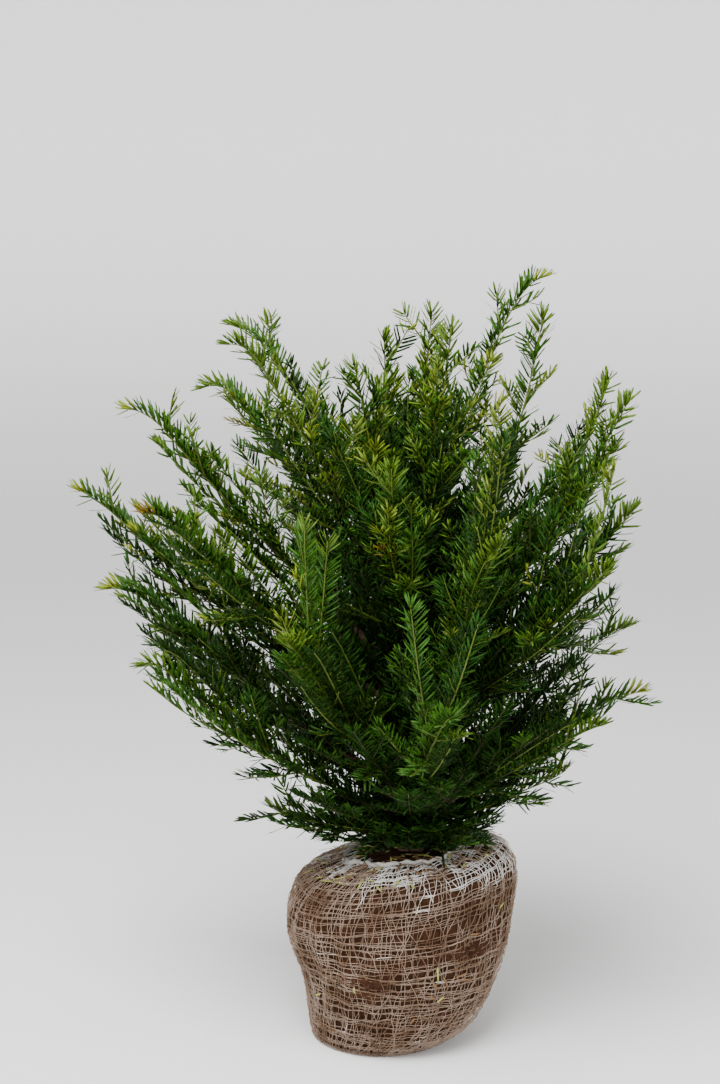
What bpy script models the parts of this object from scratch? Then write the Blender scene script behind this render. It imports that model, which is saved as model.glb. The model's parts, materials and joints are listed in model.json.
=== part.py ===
"""English yew (Taxus baccata), a young nursery shrub standing on its netted root ball.

A short brown stem rises from the middle of the ball and runs up through the crown. Boughs leave
it all round, the low ones flat and the high ones steep, and each carries one mass of foliage: a
leafy leader that forks into side shoots, all of them toothed with needles. Every mass keeps to
the points that lie nearer to its own leader than to any other, clear of the boughs and the stem.

Metres, +Z up. The origin is the centre of the root ball's flat underside, and the view that the
sizes were read from looks along +Y, with +X to its right.
"""

import bmesh
import bpy
import numpy as np

NAME = "english_yew"
GAP = 0.0003

# Root ball: height up its side, radius there, and how far its middle has leaned towards +X
BALL_PROFILE = (
    (0.000, 0.0680, 0.000),
    (0.006, 0.0750, 0.006),
    (0.020, 0.0865, 0.014),
    (0.050, 0.0975, 0.021),
    (0.075, 0.1045, 0.024),
    (0.100, 0.1100, 0.024),
    (0.130, 0.1140, 0.022),
    (0.158, 0.1145, 0.023),
    (0.177, 0.1080, 0.025),
    (0.188, 0.0940, 0.025),
    (0.193, 0.0700, 0.025),
)
BALL_TOP = 0.197
BALL_TILT = 0.17
FOLDS = 24
FOLD_DEPTH = 0.0016
FOLDS_FROM = 0.05
BALL_STEPS = 2 * FOLDS
LUMPS = 0.022
STEM_FOOT = 0.032
STEM_SEAT = 0.026
SEAT_RIM = 0.075

# Stem: height above the top of the ball and radius there, from the flat cut up to the tip
STEM_PROFILE = (
    (0.0000, 0.0200),
    (0.0050, 0.0160),
    (0.0140, 0.0128),
    (0.0350, 0.0112),
    (0.0800, 0.0098),
    (0.1300, 0.0084),
    (0.1800, 0.0070),
    (0.2300, 0.0055),
    (0.2700, 0.0038),
    (0.2950, 0.0026),
)
STEM_SWAY = 0.004
STEM_WAVE = 0.36
FLARE_LOBES = 5
FLARE_DEPTH = 0.16
FLARE_HEIGHT = 0.016
STEM_SIDES = 10
CUT_LEVEL = 0.0025
CUT_AROUND_STEM = 0.00036
CUT_BELOW_STEM = 0.01
STEM_SAMPLES = 60

# One shoot a row: bearing of the tip (degrees from +X towards +Y), reach from the stem's foot,
# height of the tip, height where it leaves the stem, bow (above 0 it climbs first and spreads
# later), nod of the tip, swing of the bearing along it (degrees), and the share of its length
# that is bough (0 where the foliage starts at the stem itself).
SHOOTS = {
    "left_skirt": (190, 0.150, 0.250, 0.214, -0.48, 0.000, -26, 0.00),
    "left_low_front": (200, 0.284, 0.404, 0.222, -0.48, 0.035, -4, 0.18),
    "left_low_back": (150, 0.322, 0.398, 0.236, -0.10, 0.010, -8, 0.18),
    "left_middle": (182, 0.312, 0.466, 0.250, -0.20, 0.036, -8, 0.18),
    "left_far_front": (217, 0.316, 0.568, 0.334, -0.20, 0.028, 6, 0.18),
    "left_far": (176, 0.345, 0.567, 0.318, -0.30, 0.020, -6, 0.18),
    "left_high": (192, 0.290, 0.652, 0.374, -0.20, 0.037, -4, 0.18),
    "left_high_back": (152, 0.252, 0.658, 0.396, 0.12, 0.048, 8, 0.16),
    "left_crest_front": (210, 0.210, 0.714, 0.406, 0.12, 0.047, -6, 0.14),
    "left_crest_back": (140, 0.256, 0.726, 0.412, 0.32, 0.034, 16, 0.14),
    "right_skirt": (345, 0.166, 0.294, 0.216, -0.22, -0.004, -4, 0.00),
    "right_low_front": (325, 0.225, 0.358, 0.228, -0.15, 0.008, -8, 0.18),
    "right_low": (0, 0.242, 0.362, 0.242, 0.04, 0.008, -6, 0.18),
    "right_low_back": (24, 0.264, 0.411, 0.262, -0.06, 0.008, -4, 0.18),
    "right_middle_front": (316, 0.250, 0.520, 0.306, -0.12, -0.002, -2, 0.18),
    "right_far": (350, 0.227, 0.558, 0.284, -0.05, 0.004, 4, 0.18),
    "right_high_front": (333, 0.230, 0.670, 0.352, -0.25, 0.002, -8, 0.18),
    "right_high_back": (38, 0.278, 0.676, 0.342, -0.45, 0.005, 10, 0.18),
    "right_crest_front": (346, 0.132, 0.750, 0.366, -0.50, -0.008, -6, 0.16),
    "right_crest_back": (28, 0.164, 0.778, 0.432, 0.36, 0.040, -22, 0.12),
    "centre_left": (226, 0.086, 0.700, 0.432, -0.15, 0.022, 0, 0.00),
    "centre_back": (130, 0.042, 0.725, 0.456, -0.60, 0.004, -4, 0.00),
    "centre_crest": (60, 0.045, 0.750, 0.492, 0.00, 0.010, 2, 0.00),
    "centre_front": (300, 0.074, 0.738, 0.448, -0.20, 0.003, -8, 0.00),
    "front_high": (262, 0.160, 0.610, 0.362, -0.10, 0.010, 6, 0.18),
    "front_right": (293, 0.205, 0.545, 0.272, 0.00, 0.006, 8, 0.18),
    "front_left": (240, 0.240, 0.455, 0.256, -0.10, 0.012, 8, 0.18),
    "front_low": (277, 0.255, 0.395, 0.234, -0.10, 0.010, 6, 0.18),
    "back_high": (98, 0.190, 0.655, 0.380, -0.05, 0.020, 4, 0.18),
    "back_left": (120, 0.280, 0.520, 0.276, -0.05, 0.020, 8, 0.18),
    "back_right": (68, 0.270, 0.545, 0.310, -0.10, 0.015, -8, 0.18),
    "back_low": (90, 0.265, 0.385, 0.240, -0.15, 0.015, 6, 0.18),
}
NOD_FROM = 0.8
PATH_POINTS = 81

# Limbs
LIMB_RADIUS = 0.0016
LIMB_RADIUS_PER_LENGTH = 0.0068
LIMB_TIP_RADIUS = 0.0009
LIMB_SIDES = 6
BOUGH_POINTS = 5
BOUGH_SAMPLES = 30
STEM_BITE = 0.35

# Foliage. Side shoots follow one seeded rule: their places run up the leader by even steps, each
# turns on round it, and they shorten towards the tip. PLACE, TURN, LEAN and LENGTH_JITTER are how
# far chance moves them: in steps, degrees, degrees, and as a share of the length.
NEEDLE = 0.027
NEEDLE_SWEEP = 0.85
NEEDLE_TAPER = (1.3, 0.55, 0.5)
SHORT_NEEDLE = 0.6
TOOTH_ROOT = 0.0085
TOOTH_FROM = 0.006
LEADER_PITCH = 0.0190
SIDE_PITCH = 0.0170
SIDE_CORE = 0.0014
SIDE_POINTS = 9
SIDE_BLADE_TURN = 0.6
MOST_BULGE = 1.0
SIDES = 10
SIDES_KEPT = (0, 2, 4, 7)
SIDE_FROM = 0.06
SIDE_TO = 0.84
SIDE_SHARE = 0.36
SIDE_LONGEST = 0.125
SIDE_SHORTEST = 0.034
SIDE_LEAN = 44
SIDE_RISE = 0.14
SIDE_TURN = 137.5
SIDE_LIMITS = (0.04, 0.88)
PLACE_JITTER = 0.35
TURN_JITTER = 16
LEAN_JITTER = 8
LENGTH_JITTER = 0.22
TWIST = 20
OWN_SPACE = 0.0020
SHARP_EDGE = 40
SEED = 71


def material(name, colour, roughness, metallic=0.0):
    """A plain Principled material."""
    made = bpy.data.materials.new(name)
    made.use_nodes = True
    shader = made.node_tree.nodes["Principled BSDF"]
    shader.inputs["Base Color"].default_value = (*colour, 1.0)
    shader.inputs["Roughness"].default_value = roughness
    shader.inputs["Metallic"].default_value = metallic
    return made


def clear_scene():
    for obj in list(bpy.data.objects):
        bpy.data.objects.remove(obj, do_unlink=True)


def collection(name):
    made = bpy.data.collections.new(name)
    bpy.context.scene.collection.children.link(made)
    return made


def add_object(name, data, into, look=None):
    obj = bpy.data.objects.new(name, data)
    into.objects.link(obj)
    if look:
        data.materials.append(look)
    return obj


def as_mesh(obj, into, doubled=True):
    """The object as the viewport shows it, made a mesh object of the same name. A tube's caps and
    a turned shape's seam have doubled points, which are merged.
    """
    bpy.context.view_layer.update()
    graph = bpy.context.evaluated_depsgraph_get()
    mesh = bpy.data.meshes.new_from_object(obj.evaluated_get(graph))
    name, place = obj.name, obj.matrix_world.copy()
    bpy.data.objects.remove(obj, do_unlink=True)
    if doubled:
        weld(mesh)
    made = add_object(name, mesh, into)
    made.matrix_world = place
    return made


def weld(mesh, within=1e-6):
    """Merges doubled points, drops faces without area and turns every face outwards."""
    work = bmesh.new()
    work.from_mesh(mesh)
    bmesh.ops.remove_doubles(work, verts=work.verts, dist=within)
    bmesh.ops.dissolve_degenerate(work, edges=work.edges, dist=within)
    bmesh.ops.recalc_face_normals(work, faces=work.faces)
    work.to_mesh(mesh)
    work.free()


def tube(name, points, radii, sides, into, look):
    """A round limb along the points, with its own radius at each and both ends capped."""
    curve = bpy.data.curves.new(name, "CURVE")
    curve.dimensions = "3D"
    curve.bevel_depth = 1.0
    curve.bevel_resolution = (sides - 4) // 2
    curve.use_fill_caps = True
    curve.twist_mode = "MINIMUM"
    spline = curve.splines.new("POLY")
    spline.points.add(len(points) - 1)
    spline.points.foreach_set("co", np.column_stack([points, np.ones(len(points))]).ravel())
    spline.points.foreach_set("radius", np.asarray(radii, float))
    curve.materials.append(look)
    return as_mesh(add_object(name, curve, into), into)


def vertex_places(mesh):
    place = np.empty(len(mesh.vertices) * 3)
    mesh.vertices.foreach_get("co", place)
    return place.reshape(-1, 3)


def move_vertices(mesh, place):
    mesh.vertices.foreach_set("co", place.ravel())
    mesh.update()


def smooth_step(value, low, high):
    share = np.clip((value - low) / (high - low), 0, 1)
    return share * share * (3 - 2 * share)


def stem_axis(z):
    """Centre of the stem at height z: upright over the seat, with a slow sway."""
    wave = 2 * np.pi * (np.asarray(z, float) - BALL_TOP) / STEM_WAVE
    x = STEM_FOOT + STEM_SWAY * np.sin(wave)
    y = STEM_SWAY * (np.cos(wave) - 1) * 0.5
    return np.stack([x, y, np.asarray(z, float)], axis=-1)


def stem_radius(z):
    heights, radii = np.array(STEM_PROFILE).T
    return np.interp(np.asarray(z) - BALL_TOP, heights, radii)


def shoot_path(row):
    """Centre line of a shoot, evenly spaced, from the stem's axis out to its tip."""
    bearing, reach, top, rise, bow, nod, swing, _ = row
    t = np.linspace(0, 1, 4 * PATH_POINTS)
    bend = np.clip((t - NOD_FROM) / (1 - NOD_FROM), 0, 1) ** 2
    out = reach * (t - bow * t * (1 - t))
    angle = np.radians(bearing - swing * (1 - t))
    foot = stem_axis(rise)
    tip_shift = np.array([STEM_FOOT, 0.0]) - foot[:2]
    flat = foot[:2] + out[:, None] * np.stack([np.cos(angle), np.sin(angle)], 1) + t[:, None] * tip_shift
    height = rise + (top + nod - rise) * t - nod * bend
    return evenly(np.column_stack([flat, height]), PATH_POINTS)


def along(path):
    """Distance from the start at each point."""
    steps = np.linalg.norm(np.diff(path, axis=0), axis=1)
    return np.concatenate([[0.0], np.cumsum(steps)])


def evenly(path, count):
    """The path again, with that many points at equal steps."""
    return at_distance(path, np.linspace(0, along(path)[-1], count))


def at_distance(path, distance):
    """Points at these distances along the path."""
    run = along(path)
    return np.stack([np.interp(distance, run, path[:, axis]) for axis in range(3)], axis=-1)


def limb_radius(length, share):
    """Radius of a shoot of that length, at a share of its way to the tip."""
    foot = LIMB_RADIUS + LIMB_RADIUS_PER_LENGTH * length
    return LIMB_TIP_RADIUS + (foot - LIMB_TIP_RADIUS) * (1 - share) ** 0.9


def make_root_ball(into, look):
    """A turned bucket shape, leaned over, tilted at the top and made lumpy, with a level seat.

    The net's folds run up the side and in over the top: crests and valleys by turns, one at each
    step of the turning.
    """
    heights, radii, leans = np.array(BALL_PROFILE).T
    outline = [(0.0, BALL_TOP), (STEM_SEAT, BALL_TOP)]
    outline += list(zip(radii[::-1], heights[::-1])) + [(0.0, 0.0)]
    mesh = bpy.data.meshes.new("root_ball")
    points = [(radius, 0.0, height) for radius, height in outline]
    mesh.from_pydata(points, [(i, i + 1) for i in range(len(points) - 1)], [])
    ball = add_object("root_ball", mesh, into, look)
    screw = ball.modifiers.new("Turned", "SCREW")
    screw.steps = BALL_STEPS
    screw.render_steps = BALL_STEPS
    screw.use_merge_vertices = True
    screw.merge_threshold = 0.0001
    screw.use_normal_calculate = True
    ball = as_mesh(ball, into)
    x, y, z = vertex_places(ball.data).T
    angle, radius = np.arctan2(y, x), np.hypot(x, y)
    off_seat = smooth_step(radius, STEM_SEAT, SEAT_RIM)
    lump = np.sin(2 * angle + 25 * z - 2.8) + 0.7 * np.sin(5 * angle - 45 * z + 2.2)
    grown = 1 + LUMPS * lump * off_seat * smooth_step(z, 0.0, 0.06)
    lean = np.interp(z, heights, leans)
    lean = np.where(z > heights[-1], STEM_FOOT + (leans[-1] - STEM_FOOT) * off_seat, lean)
    tilt = BALL_TILT * x * off_seat * smooth_step(z, 0.05, 0.19)
    fold = FOLD_DEPTH * np.cos(FOLDS * angle) * off_seat * smooth_step(z, 0.0, FOLDS_FROM)
    fold *= 0.7 + 0.3 * np.sin(3 * angle + 20 * z)
    over = smooth_step(z, 0.172, 0.193)
    out = (1 - over) * fold
    x, y = x * grown + out * np.cos(angle), y * grown + out * np.sin(angle)
    move_vertices(ball.data, np.column_stack([x + lean, y, z + tilt + over * fold]))
    weld(ball.data)
    ball.data.shade_smooth()
    return ball


def make_stem(name, into, look, grown=0.0, from_z=BALL_TOP + GAP):
    """The brown stem: its root flare spreads in a few lobes above the flat cut."""
    heights, radii = np.array(STEM_PROFILE).T
    z = BALL_TOP + heights
    z[0] = from_z
    z[-1] += grown
    stem = tube(name, stem_axis(z), radii + grown, STEM_SIDES, into, look)
    place = vertex_places(stem.data)
    place[place[:, 2] < from_z + CUT_LEVEL, 2] = from_z
    middle = stem_axis(place[:, 2])
    out = place - middle
    angle = np.arctan2(out[:, 1], out[:, 0])
    low = 1 - smooth_step(place[:, 2], BALL_TOP, BALL_TOP + FLARE_HEIGHT)
    scale = 1 - FLARE_DEPTH * low * (0.5 - 0.5 * np.cos(FLARE_LOBES * angle))
    place[:, :2] = middle[:, :2] + out[:, :2] * scale[:, None]
    move_vertices(stem.data, place)
    return stem


def subtract(obj, cutter):
    """Gives the object a Boolean that takes the cutter out of it."""
    cut = obj.modifiers.new("Cut", "BOOLEAN")
    cut.operation = "DIFFERENCE"
    cut.solver = "EXACT"
    cut.object = cutter


def settled(obj, into, look):
    """The object with its modifiers applied, only its largest closed body kept, smooth shaded."""
    made = as_mesh(obj, into, doubled=False)
    keep_largest_body(made.data)
    made.data.materials.clear()
    made.data.materials.append(look)
    made.data.shade_smooth()
    made.data.set_sharp_from_angle(angle=np.radians(SHARP_EDGE))
    return made


def keep_largest_body(mesh):
    """Drops loose scraps and fills sealed hollows, by keeping the body of the largest volume."""
    work = bmesh.new()
    work.from_mesh(mesh)
    left = set(work.faces)
    bodies = []
    while left:
        found = {left.pop()}
        rim = list(found)
        while rim:
            rim = [near for face in rim for e in face.edges for near in e.link_faces if near in left]
            found.update(rim)
            left.difference_update(rim)
        bodies.append(found)
    best = max(bodies, key=body_volume)
    spare = [face for face in work.faces if face not in best]
    bmesh.ops.delete(work, geom=spare, context="FACES")
    work.to_mesh(mesh)
    work.free()


def body_volume(faces):
    """Volume enclosed by the faces, by the sum of signed tetrahedra."""
    total = 0.0
    for face in faces:
        corners = [v.co for v in face.verts]
        for b, c in zip(corners[1:-1], corners[2:]):
            total += corners[0].dot(b.cross(c))
    return total / 6


def frames_along(path, where, turn):
    """Tangent and two side vectors at these distances. They start level and turn round the path."""
    ahead, behind = at_distance(path, where + 0.003), at_distance(path, where - 0.003)
    tangent = unit(ahead - behind)
    level = np.cross(tangent, [0.0, 0.0, 1.0])
    steep = np.linalg.norm(level, axis=1) < 0.05
    level[steep] = (0.0, 1.0, 0.0)
    level = unit(level - (level * tangent).sum(1)[:, None] * tangent)
    up = np.cross(level, tangent)
    c, s = np.cos(turn)[:, None], np.sin(turn)[:, None]
    return tangent, c * level + s * up, c * up - s * level


def toothed_shoot(name, path, radii, pitch, first_turn, allowed, into, look):
    """A shoot as one closed blade: a slim four-edged core with a pair of teeth at each step.

    Each tooth stands for a few needles side by side and points forward. One that fails the
    allowed test is left out, and the core runs on bare there. The core's two side edges carry the
    teeth. Its upper and lower edges have a point for every second pair, or for every pair where
    the path bends so much that a longer edge would leave the core.
    """
    run = along(path)[-1]
    pairs = max(2, int((run - TOOTH_FROM) / pitch))
    centre = TOOTH_FROM + (run - TOOTH_FROM) * (np.arange(pairs) + 0.5) / pairs
    ends = np.linspace(0, run - 2 * pitch, 20)
    chord = (at_distance(path, ends) + at_distance(path, ends + 2 * pitch)) / 2
    bulge = np.linalg.norm(chord - at_distance(path, ends + pitch), axis=1).max()
    every = 2 if bulge < MOST_BULGE * radii[-1] else 1
    ridge_at = centre[::every] + 0.25 * pitch * (every - 1)
    where = np.concatenate([[0.0], centre - TOOTH_ROOT / 2, centre, centre + TOOTH_ROOT / 2, ridge_at, [run]])
    points = at_distance(path, where)
    core = np.interp(where, np.linspace(0, run, len(radii)), radii)[:, None]
    turn = first_turn + np.radians(TWIST) * (where / pitch)
    tangent, side, up = frames_along(path, where, turn)

    verts = [points[-1]]

    def add(place):
        verts.append(place)
        return len(verts) - 1

    before, middle, after = (1 + np.arange(pairs) + i * pairs for i in range(3))
    ridge = 1 + 3 * pairs + np.arange(len(ridge_at))
    most, drop, least = NEEDLE_TAPER
    long = NEEDLE * np.clip(most - drop * centre / run, least, 1.0)[:, None]
    edges = []
    for sign in (1, -1):
        root = points[middle] + sign * side[middle] * core[middle]
        arm = long * unit(sign * side[middle] + NEEDLE_SWEEP * tangent[middle])
        full = allowed(root + arm) & allowed(root + arm / 2)
        tip = root + np.where(full[:, None], arm, SHORT_NEEDLE * arm)
        keep = full | (allowed(tip) & allowed((root + tip) / 2))
        edge = [(add(points[0] + sign * side[0] * core[0]), 0)]
        for i in range(pairs):
            fore, aft = (points[k] + sign * side[k] * core[k] for k in (before[i], after[i]))
            corners = [fore, tip[i], aft] if keep[i] else [aft]
            edge += [(add(place), 1 + i // every) for place in corners]
        edge.append((0, edge[-1][1]))
        edges.append(edge)
    spines = [[add(points[k] + sign * up[k] * core[k]) for k in (0, *ridge)] for sign in (1, -1)]

    faces = [(edges[0][0][0], spines[0][0], edges[1][0][0], spines[1][0])]
    for edge in edges:
        for spine in spines:
            for (a, near), (b, next_near) in zip(edge, edge[1:]):
                faces.append((spine[near], a, b))
                if next_near != near:
                    faces.append((spine[near], b, spine[next_near]))
    mesh = bpy.data.meshes.new(name)
    mesh.from_pydata([tuple(v) for v in verts], [], faces)
    weld(mesh)
    return add_object(name, mesh, into, look)


def unit(vectors):
    return vectors / np.linalg.norm(vectors, axis=-1, keepdims=True)


def side_shoots(leader, seed):
    """Centre lines of a leader's side shoots, with each one's number, by the seeded rule."""
    rng = np.random.default_rng(SEED + seed)
    run = along(leader)[-1]
    first = rng.uniform(0, 360)
    found = []
    for i in range(SIDES):
        jitter = rng.uniform(-1, 1, 4)
        share = SIDE_FROM + (SIDE_TO - SIDE_FROM) * (i + PLACE_JITTER * jitter[0]) / (SIDES - 1)
        share = float(np.clip(share, *SIDE_LIMITS))
        foot, ahead = at_distance(leader, np.array([share * run, share * run + 0.004]))
        tangent = unit(ahead - foot)
        level = unit(np.cross(tangent, (0.0, 0.0, 1.0)) + (1e-6, 0, 0))
        up = np.cross(level, tangent)
        turn = np.radians(first + SIDE_TURN * i + TURN_JITTER * jitter[1])
        lean = np.radians(SIDE_LEAN + LEAN_JITTER * jitter[2])
        away = np.cos(turn) * level + np.sin(turn) * up
        start = np.cos(lean) * tangent + np.sin(lean) * away
        length = np.clip(SIDE_SHARE * (1 - share) * run, SIDE_SHORTEST, SIDE_LONGEST)
        length *= 1 + LENGTH_JITTER * jitter[3]
        step = np.linspace(0, 1, SIDE_POINTS)[:, None] * length
        lift = SIDE_RISE * step**2 / length * np.array([0.0, 0.0, 1.0])
        found.append((i, foot + step * start + lift))
    return found


class OwnSpace:
    """Which points a mass may use: those nearer to its leader than to any other limb."""

    def __init__(self, leaders, limbs):
        self.leaders = leaders
        self.limbs = limbs

    def test(self, name):
        own = self.leaders[name]
        others = np.concatenate([path for key, path in self.leaders.items() if key != name])
        limb_points = np.concatenate([points for points, _ in self.limbs])
        limb_radii = np.concatenate([radii for _, radii in self.limbs])

        def allowed(points):
            to_own = distances(points, own).min(1)
            to_others = distances(points, others).min(1)
            to_limbs = (distances(points, limb_points) - limb_radii).min(1)
            return (to_own + OWN_SPACE < to_others) & (to_limbs > OWN_SPACE)

        return allowed


def distances(a, b):
    return np.sqrt(((a[:, None, :] - b[None, :, :]) ** 2).sum(-1))


def allowed_length(path, allowed):
    """How much of a side shoot lies in its own space, past its foot."""
    good = allowed(path)
    good[:2] = True
    stop = len(path) if good.all() else int(np.argmin(good))
    return path[:stop]


def join_mass(name, leader, sides, into, look):
    """One union of the leader with its side shoots."""
    loose = collection(name + "_sides")
    for side in sides:
        into.objects.unlink(side)
        loose.objects.link(side)
    if sides:
        fuse = leader.modifiers.new("Fuse", "BOOLEAN")
        fuse.operation = "UNION"
        fuse.operand_type = "COLLECTION"
        fuse.collection = loose
        fuse.solver = "MANIFOLD"
    leader.name = name
    made = settled(leader, into, look)
    for side in list(loose.objects):
        bpy.data.objects.remove(side, do_unlink=True)
    bpy.data.collections.remove(loose)
    return made


def main():
    clear_scene()
    parts = collection(NAME)
    cutters = collection("cutters")
    soil = material("netted_soil", (0.36, 0.27, 0.20), 0.95)
    bark = material("bark", (0.19, 0.11, 0.065), 0.85)
    green = material("needles", (0.035, 0.12, 0.025), 0.45)

    make_root_ball(parts, soil)
    stem = make_stem("trunk", parts, bark)
    stem.data.shade_smooth()
    below = BALL_TOP - CUT_BELOW_STEM
    stem_cutter = make_stem("trunk_cutter", cutters, bark, grown=CUT_AROUND_STEM, from_z=below)
    stem_cutter.hide_render = True
    stem_cutter.display_type = "WIRE"

    paths = {name: shoot_path(row) for name, row in SHOOTS.items()}
    leaders, limbs = {}, []
    heights = np.linspace(BALL_TOP, BALL_TOP + STEM_PROFILE[-1][0], STEM_SAMPLES)
    limbs.append((stem_axis(heights), stem_radius(heights)))
    for name, row in SHOOTS.items():
        path, share = paths[name], row[-1]
        run = along(path)[-1]
        bite = STEM_BITE * float(stem_radius(row[3]))
        if share:
            bough = at_distance(path, np.linspace(bite, share * run, BOUGH_POINTS))
            spread = np.linspace(bite, share * run, BOUGH_POINTS) / run
            made = tube("bough_" + name, bough, limb_radius(run, spread), LIMB_SIDES, parts, bark)
            subtract(made, stem_cutter)
            settled(made, parts, bark)
            fine = np.linspace(0, share, BOUGH_SAMPLES)
            limbs.append((at_distance(path, fine * run), limb_radius(run, fine)))
            start = share * run + GAP
        else:
            start = bite
        leaders[name] = at_distance(path, np.linspace(start, run, PATH_POINTS))

    space = OwnSpace(leaders, limbs)
    for number, (name, row) in enumerate(SHOOTS.items()):
        leader, allowed = leaders[name], space.test(name)
        run = along(paths[name])[-1]
        spread = 1 - (along(leader)[-1] - along(leader)) / run
        core = limb_radius(run, spread)
        blade = toothed_shoot("leader", leader, core, LEADER_PITCH, 0.0, allowed, parts, green)
        sides = []
        for i, path in side_shoots(leader, number):
            if i not in SIDES_KEPT:
                continue
            path = allowed_length(path, allowed)
            if along(path)[-1] < SIDE_SHORTEST * 0.8:
                continue
            radii = np.linspace(SIDE_CORE, SIDE_CORE * 0.5, SIDE_POINTS)
            turn = SIDE_BLADE_TURN * i
            sides.append(toothed_shoot(f"side_{i}", path, radii, SIDE_PITCH, turn, allowed, parts, green))
        mass = join_mass("foliage_" + name, blade, sides, parts, green)
        if not row[-1]:
            subtract(mass, stem_cutter)
            settled(mass, parts, green)


main()
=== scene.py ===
"""English yew on its netted root ball: the looks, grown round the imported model.

The shoots come from the same table and the same seeded rule as the solids, carried on to finer
twigs, and every twig is set with needles. Bark covers the stem and the boughs, and a net of jute
threads holds the earth of the ball. Metres, +Z up. The camera looks along +Y, +X is its right.
"""

import json
from collections import namedtuple

import bpy
import numpy as np
from bpy.props import FloatProperty, FloatVectorProperty, PointerProperty
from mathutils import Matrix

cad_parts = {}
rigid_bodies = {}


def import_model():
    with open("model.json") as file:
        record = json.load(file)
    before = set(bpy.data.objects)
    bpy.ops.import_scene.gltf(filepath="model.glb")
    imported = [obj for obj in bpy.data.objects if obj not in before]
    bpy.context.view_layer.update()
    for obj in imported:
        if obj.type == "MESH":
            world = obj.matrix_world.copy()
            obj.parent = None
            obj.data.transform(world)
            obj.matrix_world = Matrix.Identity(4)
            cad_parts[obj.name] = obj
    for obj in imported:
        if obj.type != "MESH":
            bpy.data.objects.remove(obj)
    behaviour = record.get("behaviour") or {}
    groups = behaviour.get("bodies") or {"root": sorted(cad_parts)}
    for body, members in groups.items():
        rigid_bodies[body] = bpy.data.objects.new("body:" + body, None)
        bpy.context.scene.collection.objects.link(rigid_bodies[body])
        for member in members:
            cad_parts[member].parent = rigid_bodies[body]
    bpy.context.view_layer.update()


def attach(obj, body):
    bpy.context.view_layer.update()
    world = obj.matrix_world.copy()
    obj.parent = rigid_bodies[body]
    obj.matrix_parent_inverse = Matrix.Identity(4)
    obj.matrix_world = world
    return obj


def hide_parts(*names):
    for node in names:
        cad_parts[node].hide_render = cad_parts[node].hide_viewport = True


bl_info = {
    "name": "English Yew",
    "version": (1, 0, 0),
    "blender": (4, 5, 0),
    "location": "View3D > Sidebar > Yew",
    "description": "Grows an english yew on its netted root ball round the packed model",
    "category": "Add Mesh",
}

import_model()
BODY = "root"
UP = np.array((0.0, 0.0, 1.0))

# Root ball: height up its side, radius there, and how far its middle has leaned towards +X
BALL_PROFILE = (
    (0.000, 0.0680, 0.000),
    (0.006, 0.0750, 0.006),
    (0.020, 0.0865, 0.014),
    (0.050, 0.0975, 0.021),
    (0.075, 0.1045, 0.024),
    (0.100, 0.1100, 0.024),
    (0.130, 0.1140, 0.022),
    (0.158, 0.1145, 0.023),
    (0.177, 0.1080, 0.025),
    (0.188, 0.0940, 0.025),
    (0.193, 0.0700, 0.025),
)
BALL_TOP = 0.197
BALL_RADIUS = 0.108
LOWEST = 0.0008
# Heights over which the tilt comes in, and over which the side turns over into the top
BALL_TILT = 0.17
TILT_BAND = (0.05, 0.19)
OVER_BAND = (0.172, 0.193)
FOLDS = 24
FOLD_DEPTH = 0.0016
FOLDS_FROM = 0.05
# How folds fade: by how much, how many times going round, and what a metre of height turns it by
FOLD_FADE = (0.3, 3, 20)
LUMPS = 0.022
LUMPS_FROM = 0.06
# Lumps: size, how many go round, what a metre of height turns them by, and phase
LUMP_WAVES = ((1.0, 2, 25, -2.8), (0.7, 5, -45, 2.2))
STEM_FOOT = 0.032
STEM_SEAT = 0.026
SEAT_RIM = 0.075

# Octaves of relief: how much finer and lower each is than the one before, and what four sines
# of one octave come to
FINER = 1.7
LOWER = 0.62
WAVE_WEIGHT = 2.2

# Earth: how far it lies under the net, and the muddy patches by their angle round the ball, share
# of the way up its skin, and size
EARTH_ROWS = 150
EARTH_COLUMNS = 300
EARTH_SINK = -0.0017
MUD_SPOTS = ((4.40, 0.36), (5.42, 0.44))
MUD_SIZE = np.array((0.026, 0.026, 0.015))
MUD_HEIGHT = 0.0026
MUD_CRUMBS = 0.0030
CLOD_SIZE = 0.045
CLOD_HEIGHT = 0.0010
CRUMB_SIZE = 0.012
CRUMB_HEIGHT = 0.0008

# Layers of the net, from the inside: turn of the uprights on their way up (radians), lift over
# the skin, and number of threads as a share of what the opening gives
NET_LAYERS = ((0.05, 0.0002, 1.0), (0.66, 0.0008, 0.8), (-0.36, 0.0014, 0.4))
WEAVE = 0.0005
THREAD_SIDES = 3
SHARE_LIMITS = (0.004, 0.92)
NET_SEED = 5

# Drift of the threads: shares of its three waves, and what they come to
DRIFT_WAVES = (1.0, 0.6, 0.35)
DRIFT_HEIGHT = 1.6

# Threads that climb: how far up the skin they go, what chance moves them by, and how much more
# they lean on the right
UPRIGHT_POINTS = 70
UPRIGHT_TO = 0.90
UPRIGHT_JITTER = 0.38
UPRIGHT_DRIFT = 0.017
RIGHT_LEAN = 1.7
RIGHT_TURN = 0.75

# Threads that go round: where they lie on the skin, what chance moves them by, and their slope
RING_POINTS = 190
RING_FROM = 0.01
RING_SPAN = 0.88
RING_JITTER = 0.30
RING_DRIFT = 0.0042
RING_WAVES = (0.04, 0.16)
RING_SLOPE = 0.020
RING_TURN = 0.6
RING_CLOSES = 5.9

# Drawn edge round the stem
HEM_THREADS = 14
HEM_SHARE = 0.885
HEM_TURNS = 9
HEM_WIDTH = 0.010
HEM_LIFT = 0.0030
HEM_HEIGHT = 0.0020

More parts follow.
